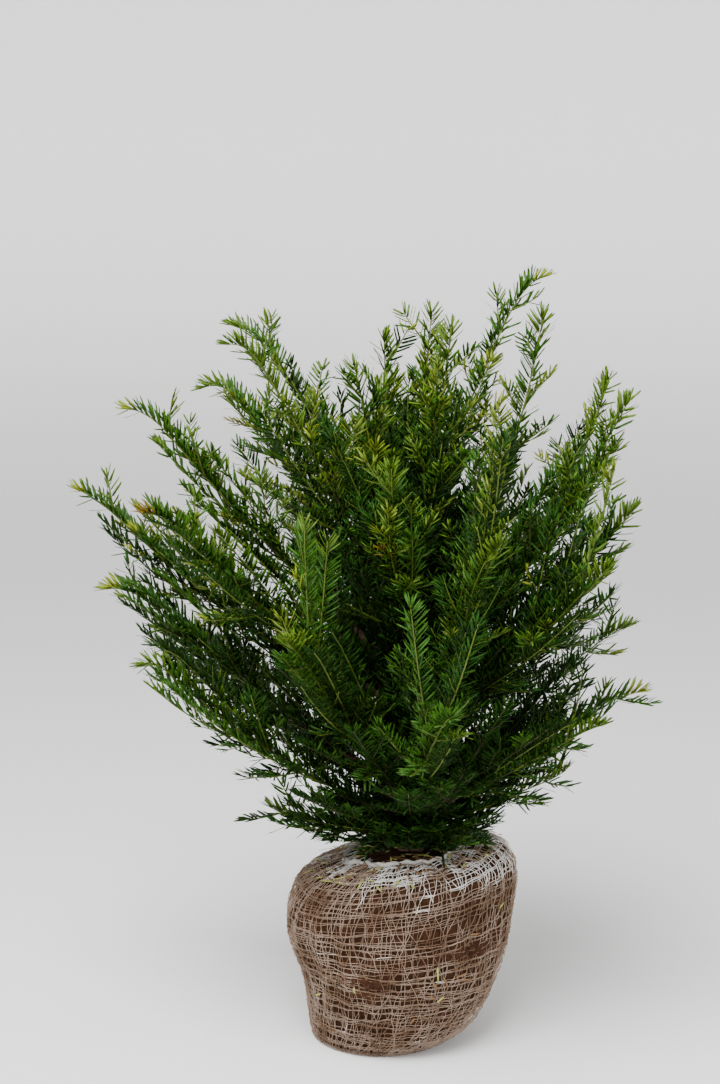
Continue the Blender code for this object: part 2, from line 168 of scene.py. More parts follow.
# Dirt of a thread, with painted light on the ball's top: what it starts from, what the painted light
# on the top takes away, what stains, mud and chance add, and the steps from one tint to the next
# The first tint is painted light: near-white threads where the light falls on the top
THREAD_TINTS = ("bleached", "pale", "jute", "soiled")
DIRT = 0.52
# Painted light: how much paler the threads on the top of the ball are drawn, and over what heights
TOP_LIGHT = 0.68
TOP_LIGHT_BAND = (0.162, 0.195)
STAIN = 0.44
STAIN_SIZE = 0.05
MUD_STAIN = 0.5
THREAD_CHANCE = 0.12
DIRT_AND_LIGHT_STEPS = (0.02, 0.54, 0.90)

# Fallen needles
FALLEN = 190
FALLEN_LIFT = 0.0032
FALLEN_ON_TOP = 0.8
FALLEN_YELLOW = 0.4
FALLEN_WIDTH = 0.85
LITTER_SEED = 6

# Stem: height above the top of the ball and radius there, from the flat cut up to the tip
STEM_PROFILE = (
    (0.0000, 0.0200),
    (0.0050, 0.0160),
    (0.0140, 0.0128),
    (0.0350, 0.0112),
    (0.0800, 0.0098),
    (0.1300, 0.0084),
    (0.1800, 0.0070),
    (0.2300, 0.0055),
    (0.2700, 0.0038),
    (0.2950, 0.0026),
)
STEM_SWAY = 0.004
STEM_WAVE = 0.36
FLARE_LOBES = 5
FLARE_DEPTH = 0.16
FLARE_HEIGHT = 0.016
GAP = 0.0003

# Bark: size and height of its long ridges and of its fine scales, and rings and sides of the wood
RIDGE_DRIFT = 0.030
RIDGES = 0.6
SCALE_SIZE = 0.006
SCALES = 0.05
STEM_RINGS = 200
STEM_SIDES = 28
BOUGH_RINGS = 40
BOUGH_SIDES = 12
BOUGH_PAST = 0.03

# One shoot a row: bearing of the tip (degrees from +X towards +Y), reach from the stem's foot,
# height of the tip, height where it leaves the stem, bow (above 0 it climbs first and spreads
# later), nod of the tip, swing of the bearing along it (degrees), and the share of its length
# that is bough (0 where the foliage starts at the stem itself).
SHOOTS = {
    "left_skirt": (190, 0.150, 0.250, 0.214, -0.48, 0.000, -26, 0.00),
    "left_low_front": (200, 0.284, 0.404, 0.222, -0.48, 0.035, -4, 0.18),
    "left_low_back": (150, 0.322, 0.398, 0.236, -0.10, 0.010, -8, 0.18),
    "left_middle": (182, 0.312, 0.466, 0.250, -0.20, 0.036, -8, 0.18),
    "left_far_front": (217, 0.316, 0.568, 0.334, -0.20, 0.028, 6, 0.18),
    "left_far": (176, 0.345, 0.567, 0.318, -0.30, 0.020, -6, 0.18),
    "left_high": (192, 0.290, 0.652, 0.374, -0.20, 0.037, -4, 0.18),
    "left_high_back": (152, 0.252, 0.658, 0.396, 0.12, 0.048, 8, 0.16),
    "left_crest_front": (210, 0.210, 0.714, 0.406, 0.12, 0.047, -6, 0.14),
    "left_crest_back": (140, 0.256, 0.726, 0.412, 0.32, 0.034, 16, 0.14),
    "right_skirt": (345, 0.166, 0.294, 0.216, -0.22, -0.004, -4, 0.00),
    "right_low_front": (325, 0.225, 0.358, 0.228, -0.15, 0.008, -8, 0.18),
    "right_low": (0, 0.242, 0.362, 0.242, 0.04, 0.008, -6, 0.18),
    "right_low_back": (24, 0.264, 0.411, 0.262, -0.06, 0.008, -4, 0.18),
    "right_middle_front": (316, 0.250, 0.520, 0.306, -0.12, -0.002, -2, 0.18),
    "right_far": (350, 0.227, 0.558, 0.284, -0.05, 0.004, 4, 0.18),
    "right_high_front": (333, 0.230, 0.670, 0.352, -0.25, 0.002, -8, 0.18),
    "right_high_back": (38, 0.278, 0.676, 0.342, -0.45, 0.005, 10, 0.18),
    "right_crest_front": (346, 0.132, 0.750, 0.366, -0.50, -0.008, -6, 0.16),
    "right_crest_back": (28, 0.164, 0.778, 0.432, 0.36, 0.040, -22, 0.12),
    "centre_left": (226, 0.086, 0.700, 0.432, -0.15, 0.022, 0, 0.00),
    "centre_back": (130, 0.042, 0.725, 0.456, -0.60, 0.004, -4, 0.00),
    "centre_crest": (60, 0.045, 0.750, 0.492, 0.00, 0.010, 2, 0.00),
    "centre_front": (300, 0.074, 0.738, 0.448, -0.20, 0.003, -8, 0.00),
    "front_high": (262, 0.160, 0.610, 0.362, -0.10, 0.010, 6, 0.18),
    "front_right": (293, 0.205, 0.545, 0.272, 0.00, 0.006, 8, 0.18),
    "front_left": (240, 0.240, 0.455, 0.256, -0.10, 0.012, 8, 0.18),
    "front_low": (277, 0.255, 0.395, 0.234, -0.10, 0.010, 6, 0.18),
    "back_high": (98, 0.190, 0.655, 0.380, -0.05, 0.020, 4, 0.18),
    "back_left": (120, 0.280, 0.520, 0.276, -0.05, 0.020, 8, 0.18),
    "back_right": (68, 0.270, 0.545, 0.310, -0.10, 0.015, -8, 0.18),
    "back_low": (90, 0.265, 0.385, 0.240, -0.15, 0.015, 6, 0.18),
}
NOD_FROM = 0.8
PATH_POINTS = 81

# Limbs and the first rank of side shoots, by the rule that shaped the solids
LIMB_RADIUS = 0.0016
LIMB_RADIUS_PER_LENGTH = 0.0068
LIMB_TIP_RADIUS = 0.0009
LIMB_TAPER = 0.9
STEM_BITE = 0.35
SIDES = 10
SIDE_POINTS = 9
SIDE_FROM = 0.06
SIDE_TO = 0.84
SIDE_SHARE = 0.36
SIDE_LONGEST = 0.125
SIDE_SHORTEST = 0.034
SIDE_LEAN = 44
SIDE_RISE = 0.14
SIDE_TURN = 137.5
SIDE_LIMITS = (0.04, 0.88)
SIDE_MARGIN = 0.012
PLACE_JITTER = 0.35
TURN_JITTER = 16
LEAN_JITTER = 8
LENGTH_JITTER = 0.22
VARIETY = 0.25
TANGENT_STEP = 0.004
SEED = 71

# Leaders in the looks: drawn slimmer than the solids and ending short of their tips, so that
# the needles keep to the same reach
LEADER_SLIMNESS = 0.50
TIP_INSET = 0.007

# Companions run beside a leader for most of its length: COMPANIONS of them, or as many as here
COMPANIONS = 5
COMPANIONS_OF = {
    "left_low_front": 6,
    "left_middle": 7,
    "left_far_front": 7,
    "left_far": 6,
    "left_crest_front": 3,
    "left_crest_back": 2,
    "right_skirt": 1,
    "right_low_front": 2,
    "right_low": 1,
    "right_low_back": 1,
    "right_crest_front": 2,
    "right_crest_back": 2,
    "front_left": 6,
    "front_low": 2,
}
COMPANION_SEED = 700
COMPANION_FROM = 0.04
COMPANION_SPAN = 0.66
COMPANION_LIMITS = (0.02, 0.70)
# What chance does to a companion's place, length and spread
COMPANION_JITTER = (0.05, 0.10, 0.25)
COMPANION_REACH = 0.80
COMPANION_LOSS = 0.9
COMPANION_LOSS_FROM = 0.50
COMPANION_SPREAD = 0.14
COMPANION_RADIUS = 0.0010
COMPANION_SHORTEST = 0.05
COMPANION_MARGIN = 0.020
# How much further out in the crown companions and risers count than the place they start from
BESIDE_OUTER = 0.15
# Spurs on a companion: how many, their share of what is left of it, and the longest
COMPANION_SPURS = (5, 0.24, 0.045)
COMPANION_SPUR_SEED = 540

# Risers climb from the leaders in front. They start along it, aside by chance, and upwards
RISERS = {
    "front_low": 5,
    "front_left": 4,
    "front_right": 5,
    "right_middle_front": 3,
    "right_low_front": 3,
}
RISER_SEED = 800
RISER_FROM = 0.30
RISER_SPAN = 0.55
RISER_LENGTH = 0.125
RISER_RISE = 0.35
RISER_START = (0.50, 0.45, 0.70)
RISER_JITTER = 0.4
RISER_SHADE = 0.15

# Spurs are short side shoots
SPUR_SEED = 500
SPURS = 11
SPUR_SHARE = 0.20
SPUR_LONGEST = 0.055
SPUR_SHORTEST = 0.022
SPUR_MARGIN = 0.030
SPURS_TO = 0.62
# Side shoots that are cut to less than this share of the shortest spur are left out
STUB = 0.6

# Twigs stand on the side shoots, left and right by turns
TWIG_SEED = 300
TWIG_STEP = 0.021
TWIG_FROM = 0.010
TWIG_MARGIN = 0.012
TWIG_TANGENT_STEP = 0.003
TWIG_SHARE = 0.62
TWIG_LONGEST = 0.038
TWIG_SHORTEST = 0.016
TWIG_LEAN = 40
TWIG_LEAN_JITTER = 7
TWIG_ROLL = 12
TWIG_ROLL_JITTER = 22
TWIG_CURL = 0.16
TWIG_POINTS = 5
TWIGS_TO = 0.72
TWIGS_ON = 0.03
SIDE_TWIG_RADIUS = 0.0010
TWIG_RADIUS = 0.0007

# Stems of the leafy shoots: rings and sides by rank, and how young the wood is where it turns
# from bark to middle wood and on to young wood
TUBE_OF_RANK = ((72, 6), (10, 4), (6, 3))
YOUTH_STEPS = (0.14, 0.42)
TWIG_YOUTH = 0.32

# Shoots from the stem itself: how many, the heights over the ball between which they start, how
# the starts crowd together low down (a power), the rise of the lowest, what the share of the way
# up adds to it and its jitter (degrees), length, and how far out they count as
StemShoots = namedtuple("StemShoots", "count low high crowding rise steeper jitter length outer")
SKIRT = StemShoots(34, 0.007, 0.030, 1.0, 3, 0, 12, 0.086, 0.5)
FILLING = StemShoots(110, 0.018, 0.245, 1.35, 22, 46, 16, 0.150, 0.0)
STEM_SHOOT_SEED = 900
STEM_SHOOT_RISE = 0.16
STEM_TURN_JITTER = 20
STEM_SHOOT_BARE = 0.015

# The foliage is kept in pieces by the part of the crown that it covers
CROWN_PARTS = {
    "needles_left_low": ("left_skirt", "left_low_front", "left_low_back", "left_middle"),
    "needles_left_high": ("left_far_front", "left_far", "left_high", "left_high_back"),
    "needles_crest": ("left_crest_front", "left_crest_back", "centre_left", "centre_back"),
    "needles_centre": ("centre_crest", "centre_front", "right_crest_front", "right_crest_back"),
    "needles_right_high": ("right_middle_front", "right_far", "right_high_front", "right_high_back"),
    "needles_right_low": ("right_skirt", "right_low_front", "right_low", "right_low_back"),
    "needles_front": ("front_high", "front_right", "front_left", "front_low"),
    "needles_back": ("back_high", "back_left", "back_right", "back_low"),
}
# Tints of the needles and their shares, which paint light and shade into the crown: painted shade
# deep inside, painted light further out, and what the sunny left shoulder (painted sunlight), the crest
# (mostly painted light from above) and the tufts of short twigs (young tips, most where painted sunlight
# falls) add
TINTS = ("dark", "deep", "mid", "fresh", "olive", "lime", "bronze")
DARK, DEEP, MID, FRESH, OLIVE, LIME, BRONZE = range(len(TINTS))
SHADED_TINTS = np.array((0.55, 0.40, 0.05, 0.00, 0.00, 0.00, 0.00))
LIT_TINTS = np.array((0.00, 0.22, 0.60, 0.18, 0.00, 0.00, 0.00))
SUNNY_TINTS = np.array((0.00, 0.00, 0.30, 0.25, 0.16, 0.00, 0.00))
CREST_TINTS = np.array((0.00, 0.00, 0.15, 0.35, 0.50, 0.02, 0.02))
TUFT_TINTS = np.array((0.00, 0.00, 0.00, 0.30, 0.35, 0.17, 0.18))
CROWN_HEIGHT = 0.58
# Painted shade: low in the crown, and on inner shoots up to a greater height, no spray is lighter than mid
SHADE_TO = 0.28
INNER_SHADE_TO = 0.55
INNER = 0.45

# Light from 0 to 1, painted into the needles' tints: what it gains with the distance out along a leader,
# the height over the ball, the distance from the stem (metres) and low down, and where the sunny
# shoulder is (X and Z)
LIGHT_OUT = 0.40
LIGHT_UP = 0.65
LIGHT_ASIDE = 1.1
LIGHT_LOSS = 0.20
LOW_LIGHT = 0.30
LOW_BAND = (0.03, 0.12)
LEAST_LIGHT = 0.05
INSIDE_LIGHT = 0.4
SUNNY_PLACE = np.array((-0.17, 0.55))
SUNNY_SIZE = np.array((0.10, 0.11))
CREST_BAND = (0.55, 0.95)
TIP_LIGHT = 0.35
TIP_LENGTHS = (0.008, 0.020)
TUFTS = 0.02
SUNNY_TUFTS = 0.9
TIPS = 0.25
LIT_TIPS = 0.4
LIT_LIME = 0.03
SUNNY_LIME = 0.12

# Tips of the leaders: tint and length, and those of the rest
LEADER_TIPS = {
    "left_middle": (LIME, 0.018),
    "left_far_front": (BRONZE, 0.014),
    "left_far": (LIME, 0.012),
    "left_high": (LIME, 0.010),
    "right_low": (LIME, 0.020),
    "right_crest_back": (LIME, 0.012),
    "front_low": (MID, 0.010),
}
PLAIN_LEADER_TIP = (FRESH, 0.030)

# Needles by the rank of their shoot (leader, side shoot, twig): share of the pitch, share of the
# length, and the lifts over the level that they take by turns (degrees)
PITCH_OF_RANK = (0.80, 1.0, 1.15)
LENGTH_OF_RANK = (1.0, 0.94, 0.80)
LIFTS_OF_RANK = ((62, 14, 38), (34, 10, 20), (34, 10, 20))
LEAST_NEEDLES = 6
PLACE_IN_STEP = (0.3, 0.7)
TIP_CROWDING = 1.35
NEEDLE_SPAN = 0.002
NEEDLE_SEED = 40
# Level shoots have their upper side tipped out by HANG. Between the two slopes in STEEP (rise per
# length) a shoot turns upright: its needles swing and twist, and more of them stand all round it
HANG = 0.25
STEEP = (0.62, 0.98)
SWING = 1.3
STEEP_TWIST = 1.1
ROUND_SHARE = (0.10, 0.36)
# Share of the stem's radius at which a needle starts, and how much narrower short needles are
SUNK = 0.6
NARROWING = 0.18
# Way the upper face looks: up and forward on a level shoot, forward and out on an upright one
FACE_UP = 0.85
FACE_FORWARD = 0.35
FACE_OUT = 0.3
# Least share and the distance over which it grows: forward angle, and length at the foot and tip
BRUSH = (0.60, 0.012)
AT_FOOT = (0.70, 0.022)
AT_TIP = (0.68, 0.018)
# Spread by chance: lift (degrees), forward angle, length and width (shares), and curl (its mean)
LIFT_CHANCE = 5
FORWARD_CHANCE = 0.045
LENGTH_CHANCE = 0.05
WIDTH_CHANCE = 0.07
CURL = (0.16, 0.07)

# Corners of a needle's blade: share of its length, and width and height as shares of its width.
# The last is the ridge
NEEDLE_CORNERS = np.array(
    (
        (0.00, 0.00, 0.00),
        (0.14, -0.50, 0.00),
        (0.80, -0.42, 0.00),
        (1.00, 0.00, 0.00),
        (0.80, 0.42, 0.00),
        (0.14, 0.50, 0.00),
        (0.46, 0.00, 0.22),
    )
)
NEEDLE_UNDERSIDE = np.array(((0, 5, 1), (1, 5, 4), (1, 4, 2), (2, 4, 3)))
TOP_FACES = 6
NEEDLE_FACES = 10
SHINE = 0.22
SHADED_SHINE = 0.09
UNDERSIDE = np.array((0.050, 0.105, 0.006))
UNDERSIDE_SHARE = 0.18

# Stage: floor and wall of the backdrop, lamps (place, size), what they light, and the camera
FLOOR_RADIUS = 4.2
BEND_RADIUS = 1.2
WALL_TOP = 3.6
BACKDROP_COLUMNS = 128
KEY_LAMP = ((-0.5, -1.3, 2.5), 1.7)
FILL_LAMP = ((1.7, -2.0, 1.1), 1.6)
LIT_PLACE = np.array((0.0, 0.0, 0.40))
SKY_TINT = (1.0, 0.99, 0.97, 1.0)
CAMERA_PLACE = (-0.019, -1.915, 0.797)
SENSOR_HEIGHT = 36.0


def colour_setting(name, description, default):
    return FloatVectorProperty(name=name, description=description, subtype="COLOR", default=default)


def number_setting(name, description, default, unit="NONE"):
    return FloatProperty(name=name, description=description, unit=unit, default=default)


def angle_setting(name, description, degrees):
    return FloatProperty(name=name, description=description, subtype="ANGLE", default=np.radians(degrees))


class NeedleSettings(bpy.types.PropertyGroup):
    """Sizes and tints of the needles."""

    length: number_setting("Length", "Length of a full needle", 0.0217, "LENGTH")
    width: number_setting("Width", "Width of a needle's blade", 0.0025, "LENGTH")
    pitch: number_setting("Pitch", "Shoot length taken by one needle", 0.0021, "LENGTH")
    twist: angle_setting("Twist", "How far chance turns needles about their length", 24)
    forward: angle_setting("Forward angle", "Angle between a needle and its shoot", 54)
    # Dark to olive paint light and shade: dark is painted shade deep inside the crown, deep is older needles
    # and painted shade, mid and fresh are the outer crown and young shoots with painted light, and olive is
    # painted full light
    dark: colour_setting("Dark", "Needles deep inside the crown", (0.0080, 0.0275, 0.0040))
    deep: colour_setting("Deep", "Older needles", (0.0140, 0.0560, 0.0055))
    mid: colour_setting("Mid", "Needles of the outer crown", (0.036, 0.108, 0.0085))
    fresh: colour_setting("Fresh", "Needles of young shoots", (0.092, 0.168, 0.015))
    olive: colour_setting("Olive", "Sprays in full light", (0.140, 0.192, 0.018))
    lime: colour_setting("Lime", "Soft needles at the tips", (0.24, 0.295, 0.020))
    bronze: colour_setting("Bronze", "Tips caught by the sun", (0.22, 0.145, 0.014))
    fallen_brown: colour_setting("Fallen, brown", "Dry needles on the net", (0.20, 0.11, 0.05))
    fallen_yellow: colour_setting("Fallen, yellow", "Needles shed of late", (0.36, 0.36, 0.09))


class WoodSettings(bpy.types.PropertyGroup):
    """Tints and relief of the wood."""

    bark: colour_setting("Bark", "Red-brown bark of the stem", (0.100, 0.046, 0.026))
    flakes: colour_setting("Flakes", "Grey flakes of old bark", (0.190, 0.130, 0.090))
    relief: number_setting("Relief", "Height of the bark's ridges, as a share of the radius", 0.09)
    young: colour_setting("Young wood", "Stems of young shoots", (0.105, 0.155, 0.012))
    middle: colour_setting("Middle wood", "Stems turning brown", (0.040, 0.045, 0.008))


class BallSettings(bpy.types.PropertyGroup):
    """Net and earth of the root ball."""

    thread: number_setting("Thread", "Thickness of a thread", 0.00072, "LENGTH")
    opening: number_setting("Opening", "Distance between threads of one layer", 0.0059, "LENGTH")
    # Painted light: near-white threads on the top of the ball, for the light that falls on it from above
    bleached: colour_setting("Bleached thread", "Whitened jute on the top", (0.80, 0.77, 0.72))
    pale: colour_setting("Pale thread", "Clean jute", (0.355, 0.260, 0.196))
    jute: colour_setting("Jute thread", "Plain jute", (0.230, 0.148, 0.097))
    soiled: colour_setting("Soiled thread", "Jute stained by earth", (0.135, 0.076, 0.045))
    # Both earth tints are kept dark as painted shade in the openings under the net; the second is used where
    # the bump is low
    earth: colour_setting("Earth", "Dry earth of the ball", (0.050, 0.0205, 0.0095))
    earth_in_hollows: colour_setting("Humus", "Moist earth in its pits", (0.020, 0.0085, 0.0040))


class StageSettings(bpy.types.PropertyGroup):
    """Backdrop, lamps and camera."""

    backdrop: colour_setting("Backdrop", "Pale floor and wall", (0.96, 0.96, 0.96))
    key: number_setting("Key lamp", "Power of the overhead lamp", 155.0, "POWER")
    fill: number_setting("Fill lamp", "Power of the front lamp", 17.0, "POWER")
    glow: number_setting("Glow", "Strength of the wall's own light", 0.58)
    sky: number_setting("Sky", "Strength of the even light", 0.33)
    lens: number_setting("Lens", "Focal length in millimetres", 63.96)
    pitch: angle_setting("Pitch", "How far the camera looks down", 8.4)


# Curves


def unit(vectors):
    return vectors / np.linalg.norm(vectors, axis=-1, keepdims=True)


def square(vectors, axis):
    """The vectors without their part along the axis."""
    return vectors - (vectors * axis).sum(-1)[..., None] * axis


def turned(angle, first, second):
    """The direction at that angle from the first towards the second."""
    return np.cos(angle) * first + np.sin(angle) * second


def smooth_step(value, low, high):
    share = np.clip((value - low) / (high - low), 0, 1)
    return share * share * (3 - 2 * share)


def along(path):
    """Distance from the start at each point."""
    steps = np.linalg.norm(np.diff(path, axis=0), axis=1)
    return np.concatenate([[0.0], np.cumsum(steps)])


def at_distance(path, distance):
    """Points at these distances along the path."""
    run = along(path)
    return np.stack([np.interp(distance, run, column) for column in path.T], axis=-1)


def evenly(path, count):
    """The path again, with that many points at equal steps."""
    return at_distance(path, np.linspace(0, along(path)[-1], count))


def point_and_tangent(path, distance, step=TANGENT_STEP):
    foot, ahead = at_distance(path, np.array([distance, distance + step]))
    return foot, unit(ahead - foot)


def square_to(tangent):
    """A level direction and the one above it, both square to the tangent."""
    level = unit(np.cross(tangent, UP) + (1e-6, 0, 0))
    return level, np.cross(level, tangent)


def lifting(foot, start, length, rise, points):
    """A centre line that starts straight and lifts with the square of its length."""
    step = np.linspace(0, 1, points)[:, None] * length
    return foot + step * start + rise * step**2 / length * UP


def stem_axis(z):
    """Centre of the stem at height z: x sways by a sine and y by half a cosine of the height."""
    wave = 2 * np.pi * (np.asarray(z, float) - BALL_TOP) / STEM_WAVE
    x = STEM_FOOT + STEM_SWAY * np.sin(wave)
    y = STEM_SWAY * (np.cos(wave) - 1) * 0.5
    return np.stack([x, y, np.asarray(z, float)], axis=-1)


def stem_radius(z):
    heights, radii = np.array(STEM_PROFILE).T
    return np.interp(np.asarray(z) - BALL_TOP, heights, radii)


def shoot_path(row):
    """Centre line of a shoot: its distance out is reach (t - bow t (1 - t)), its height rises in
    proportion to t and nods by the square of what is past NOD_FROM, and its bearing swings.
    """
    bearing, reach, top, rise, bow, nod, swing, _ = row
    t = np.linspace(0, 1, 4 * PATH_POINTS)
    bend = np.clip((t - NOD_FROM) / (1 - NOD_FROM), 0, 1) ** 2
    out = reach * (t - bow * t * (1 - t))
    angle = np.radians(bearing - swing * (1 - t))
    foot = stem_axis(rise)
    tip_shift = np.array([STEM_FOOT, 0.0]) - foot[:2]
    flat = foot[:2] + out[:, None] * np.stack([np.cos(angle), np.sin(angle)], 1) + t[:, None] * tip_shift
    height = rise + (top + nod - rise) * t - nod * bend
    return evenly(np.column_stack([flat, height]), PATH_POINTS)


def limb_radius(length, share):
    """Radius of a shoot of that length, at a share of its way to the tip."""
    foot = LIMB_RADIUS + LIMB_RADIUS_PER_LENGTH * length
    return LIMB_TIP_RADIUS + (foot - LIMB_TIP_RADIUS) * (1 - share) ** LIMB_TAPER


# Shoots

# A leafy shoot: the row it belongs to, its rank (0 leader, 1 side shoot, 2 twig), its centre line
# and radii, how far out in the crown it stands from 0 to 1, and the bare length at its foot
Shoot = namedtuple("Shoot", "row rank path radii outer bare", defaults=(0.0,))


def side_shoots(leader, seed, count=SIDES, part=SIDE_SHARE, longest=SIDE_LONGEST, shortest=SIDE_SHORTEST):
    """Centre lines of side shoots by the seeded rule: their feet go up the leader by even steps,
    each turns on by SIDE_TURN, leans out by SIDE_LEAN and lifts with the square of its length.
    """
    rng = np.random.default_rng(SEED + seed)
    run = along(leader)[-1]
    first = rng.uniform(0, 360)
    found = []
    for i in range(count):
        jitter = rng.uniform(-1, 1, 4)
        share = SIDE_FROM + (SIDE_TO - SIDE_FROM) * (i + PLACE_JITTER * jitter[0]) / (count - 1)
        share = float(np.clip(share, *SIDE_LIMITS))
        foot, tangent = point_and_tangent(leader, share * run)
        turn = np.radians(first + SIDE_TURN * i + TURN_JITTER * jitter[1])
        lean = np.radians(SIDE_LEAN + LEAN_JITTER * jitter[2])
        start = turned(lean, tangent, turned(turn, *square_to(tangent)))
        length = np.clip(part * (1 - share) * run, shortest, longest)
        length *= 1 + LENGTH_JITTER * jitter[3]
        found.append((share, lifting(foot, start, length, SIDE_RISE, SIDE_POINTS)))
    return found


def fine_twigs(side, rng):
    """Twigs of a side shoot: one each TWIG_STEP, left and right by turns, in the plane that the
    side shoot and the level make, shorter towards its tip and curving forward.
    """
    run = along(side)[-1]
    found = []
    for i in range(int((run - TWIG_MARGIN) / TWIG_STEP)):
        jitter = rng.uniform(-1, 1, 4)
        at = TWIG_FROM + TWIG_STEP * (i + VARIETY * jitter[0])
        foot, tangent = point_and_tangent(side, at, TWIG_TANGENT_STEP)
        level, up = square_to(tangent)
        hand = 1 if i % 2 else -1
        away = turned(np.radians(TWIG_ROLL_JITTER * jitter[1] + TWIG_ROLL), hand * level, up)
        lean = np.radians(TWIG_LEAN + TWIG_LEAN_JITTER * jitter[2])
        length = np.clip(TWIG_SHARE * (run - at), TWIG_SHORTEST, TWIG_LONGEST) * (1 + VARIETY * jitter[3])
        step = np.linspace(0, 1, TWIG_POINTS)[:, None]
        curve = TWIG_CURL * length * step**2 * (tangent + 0.5 * UP)
        found.append(foot + length * step * turned(lean, tangent, away) + curve)
    return found


def companions(leader, seed, count):
    """Shoots that run beside a leader for most of its length: each point is a point of the leader
    moved sideways by spread (1 - (1 - t)^2), so they arch as it does. On a leader that ends high
    they are shorter.
    """
    rng = np.random.default_rng(SEED + COMPANION_SEED + seed)
    run = along(leader)[-1]
    reach = COMPANION_REACH - COMPANION_LOSS * max(0.0, leader[-1][2] - COMPANION_LOSS_FROM)
    first = rng.uniform(0, 360)
    t = np.linspace(0, 1, 4 * SIDE_POINTS)
    place_jitter, length_jitter, spread_jitter = COMPANION_JITTER
    found = []
    for i in range(count):
        jitter = rng.uniform(-1, 1, 4)
        share = COMPANION_FROM + COMPANION_SPAN * i / max(count, COMPANIONS) + place_jitter * jitter[0]
        share = float(np.clip(share, *COMPANION_LIMITS))
        length = reach * (1 - share) * run * (1 + length_jitter * jitter[1])
        beside = at_distance(leader, share * run + length * t)
        turn = np.radians(first + SIDE_TURN * i + TURN_JITTER * jitter[2])
        away = turned(turn, *square_to(unit(np.gradient(beside, axis=0))))
        offset = COMPANION_SPREAD * (1 + spread_jitter * jitter[3]) * length * (1 - (1 - t) ** 2)
        found.append((share, beside + offset[:, None] * away))
    return found


def risers(leader, seed, count):
    """Upright shoots on the outer part of a leader: they leave it by even steps and lift with the
    square of their length.
    """
    rng = np.random.default_rng(SEED + RISER_SEED + seed)
    run = along(leader)[-1]
    along_it, aside, upward = RISER_START
    found = []
    for i in range(count):
        jitter = rng.uniform(-1, 1, 4)
        share = RISER_FROM + RISER_SPAN * (i + 0.5 + RISER_JITTER * jitter[0]) / count
        foot, tangent = point_and_tangent(leader, share * run)
        start = unit(along_it * tangent + aside * jitter[1] * np.cross(tangent, UP) + upward * UP)
        length = RISER_LENGTH * (1 + VARIETY * jitter[2])
        found.append((share, lifting(foot, start, length, RISER_RISE, 2 * SIDE_POINTS)))
    return found


def stem_shoots():
    """Leafy shoots from the stem itself, spiralling up it: first the short level skirt at its foot,
    then those that fill the dark middle, which are the more upright the higher they start.
    """
    rng = np.random.default_rng(SEED + STEM_SHOOT_SEED)
    found = []
    for kind in (SKIRT, FILLING):
        for i in range(kind.count):
            jitter = rng.uniform(-1, 1, 4)
            share = (i / kind.count) ** kind.crowding
            rise = np.radians(kind.rise + kind.steeper * share + kind.jitter * jitter[2])
            foot = stem_axis(BALL_TOP + kind.low + (kind.high - kind.low) * share)
            angle = np.radians(SIDE_TURN * len(found) + STEM_TURN_JITTER * jitter[1])
            level = np.array([np.cos(angle), np.sin(angle), 0.0])
            longer = 1 + VARIETY * jitter[3]
            lift = STEM_SHOOT_RISE * longer
            path = lifting(foot, turned(rise, level, UP), kind.length * longer, lift, 2 * SIDE_POINTS)
            found.append((path, kind.outer))
    return found


def own_part(side, leader, others, margin):
    """The first part of a side shoot, up to where another leader's path is nearer than its own
    by more than the margin.
    """
    near, far = (np.linalg.norm(side[:, None] - path[None], axis=-1).min(1) for path in (leader, others))
    own = near < far + margin
    own[:3] = True
    return side[: len(side) if own.all() else int(np.argmin(own))]


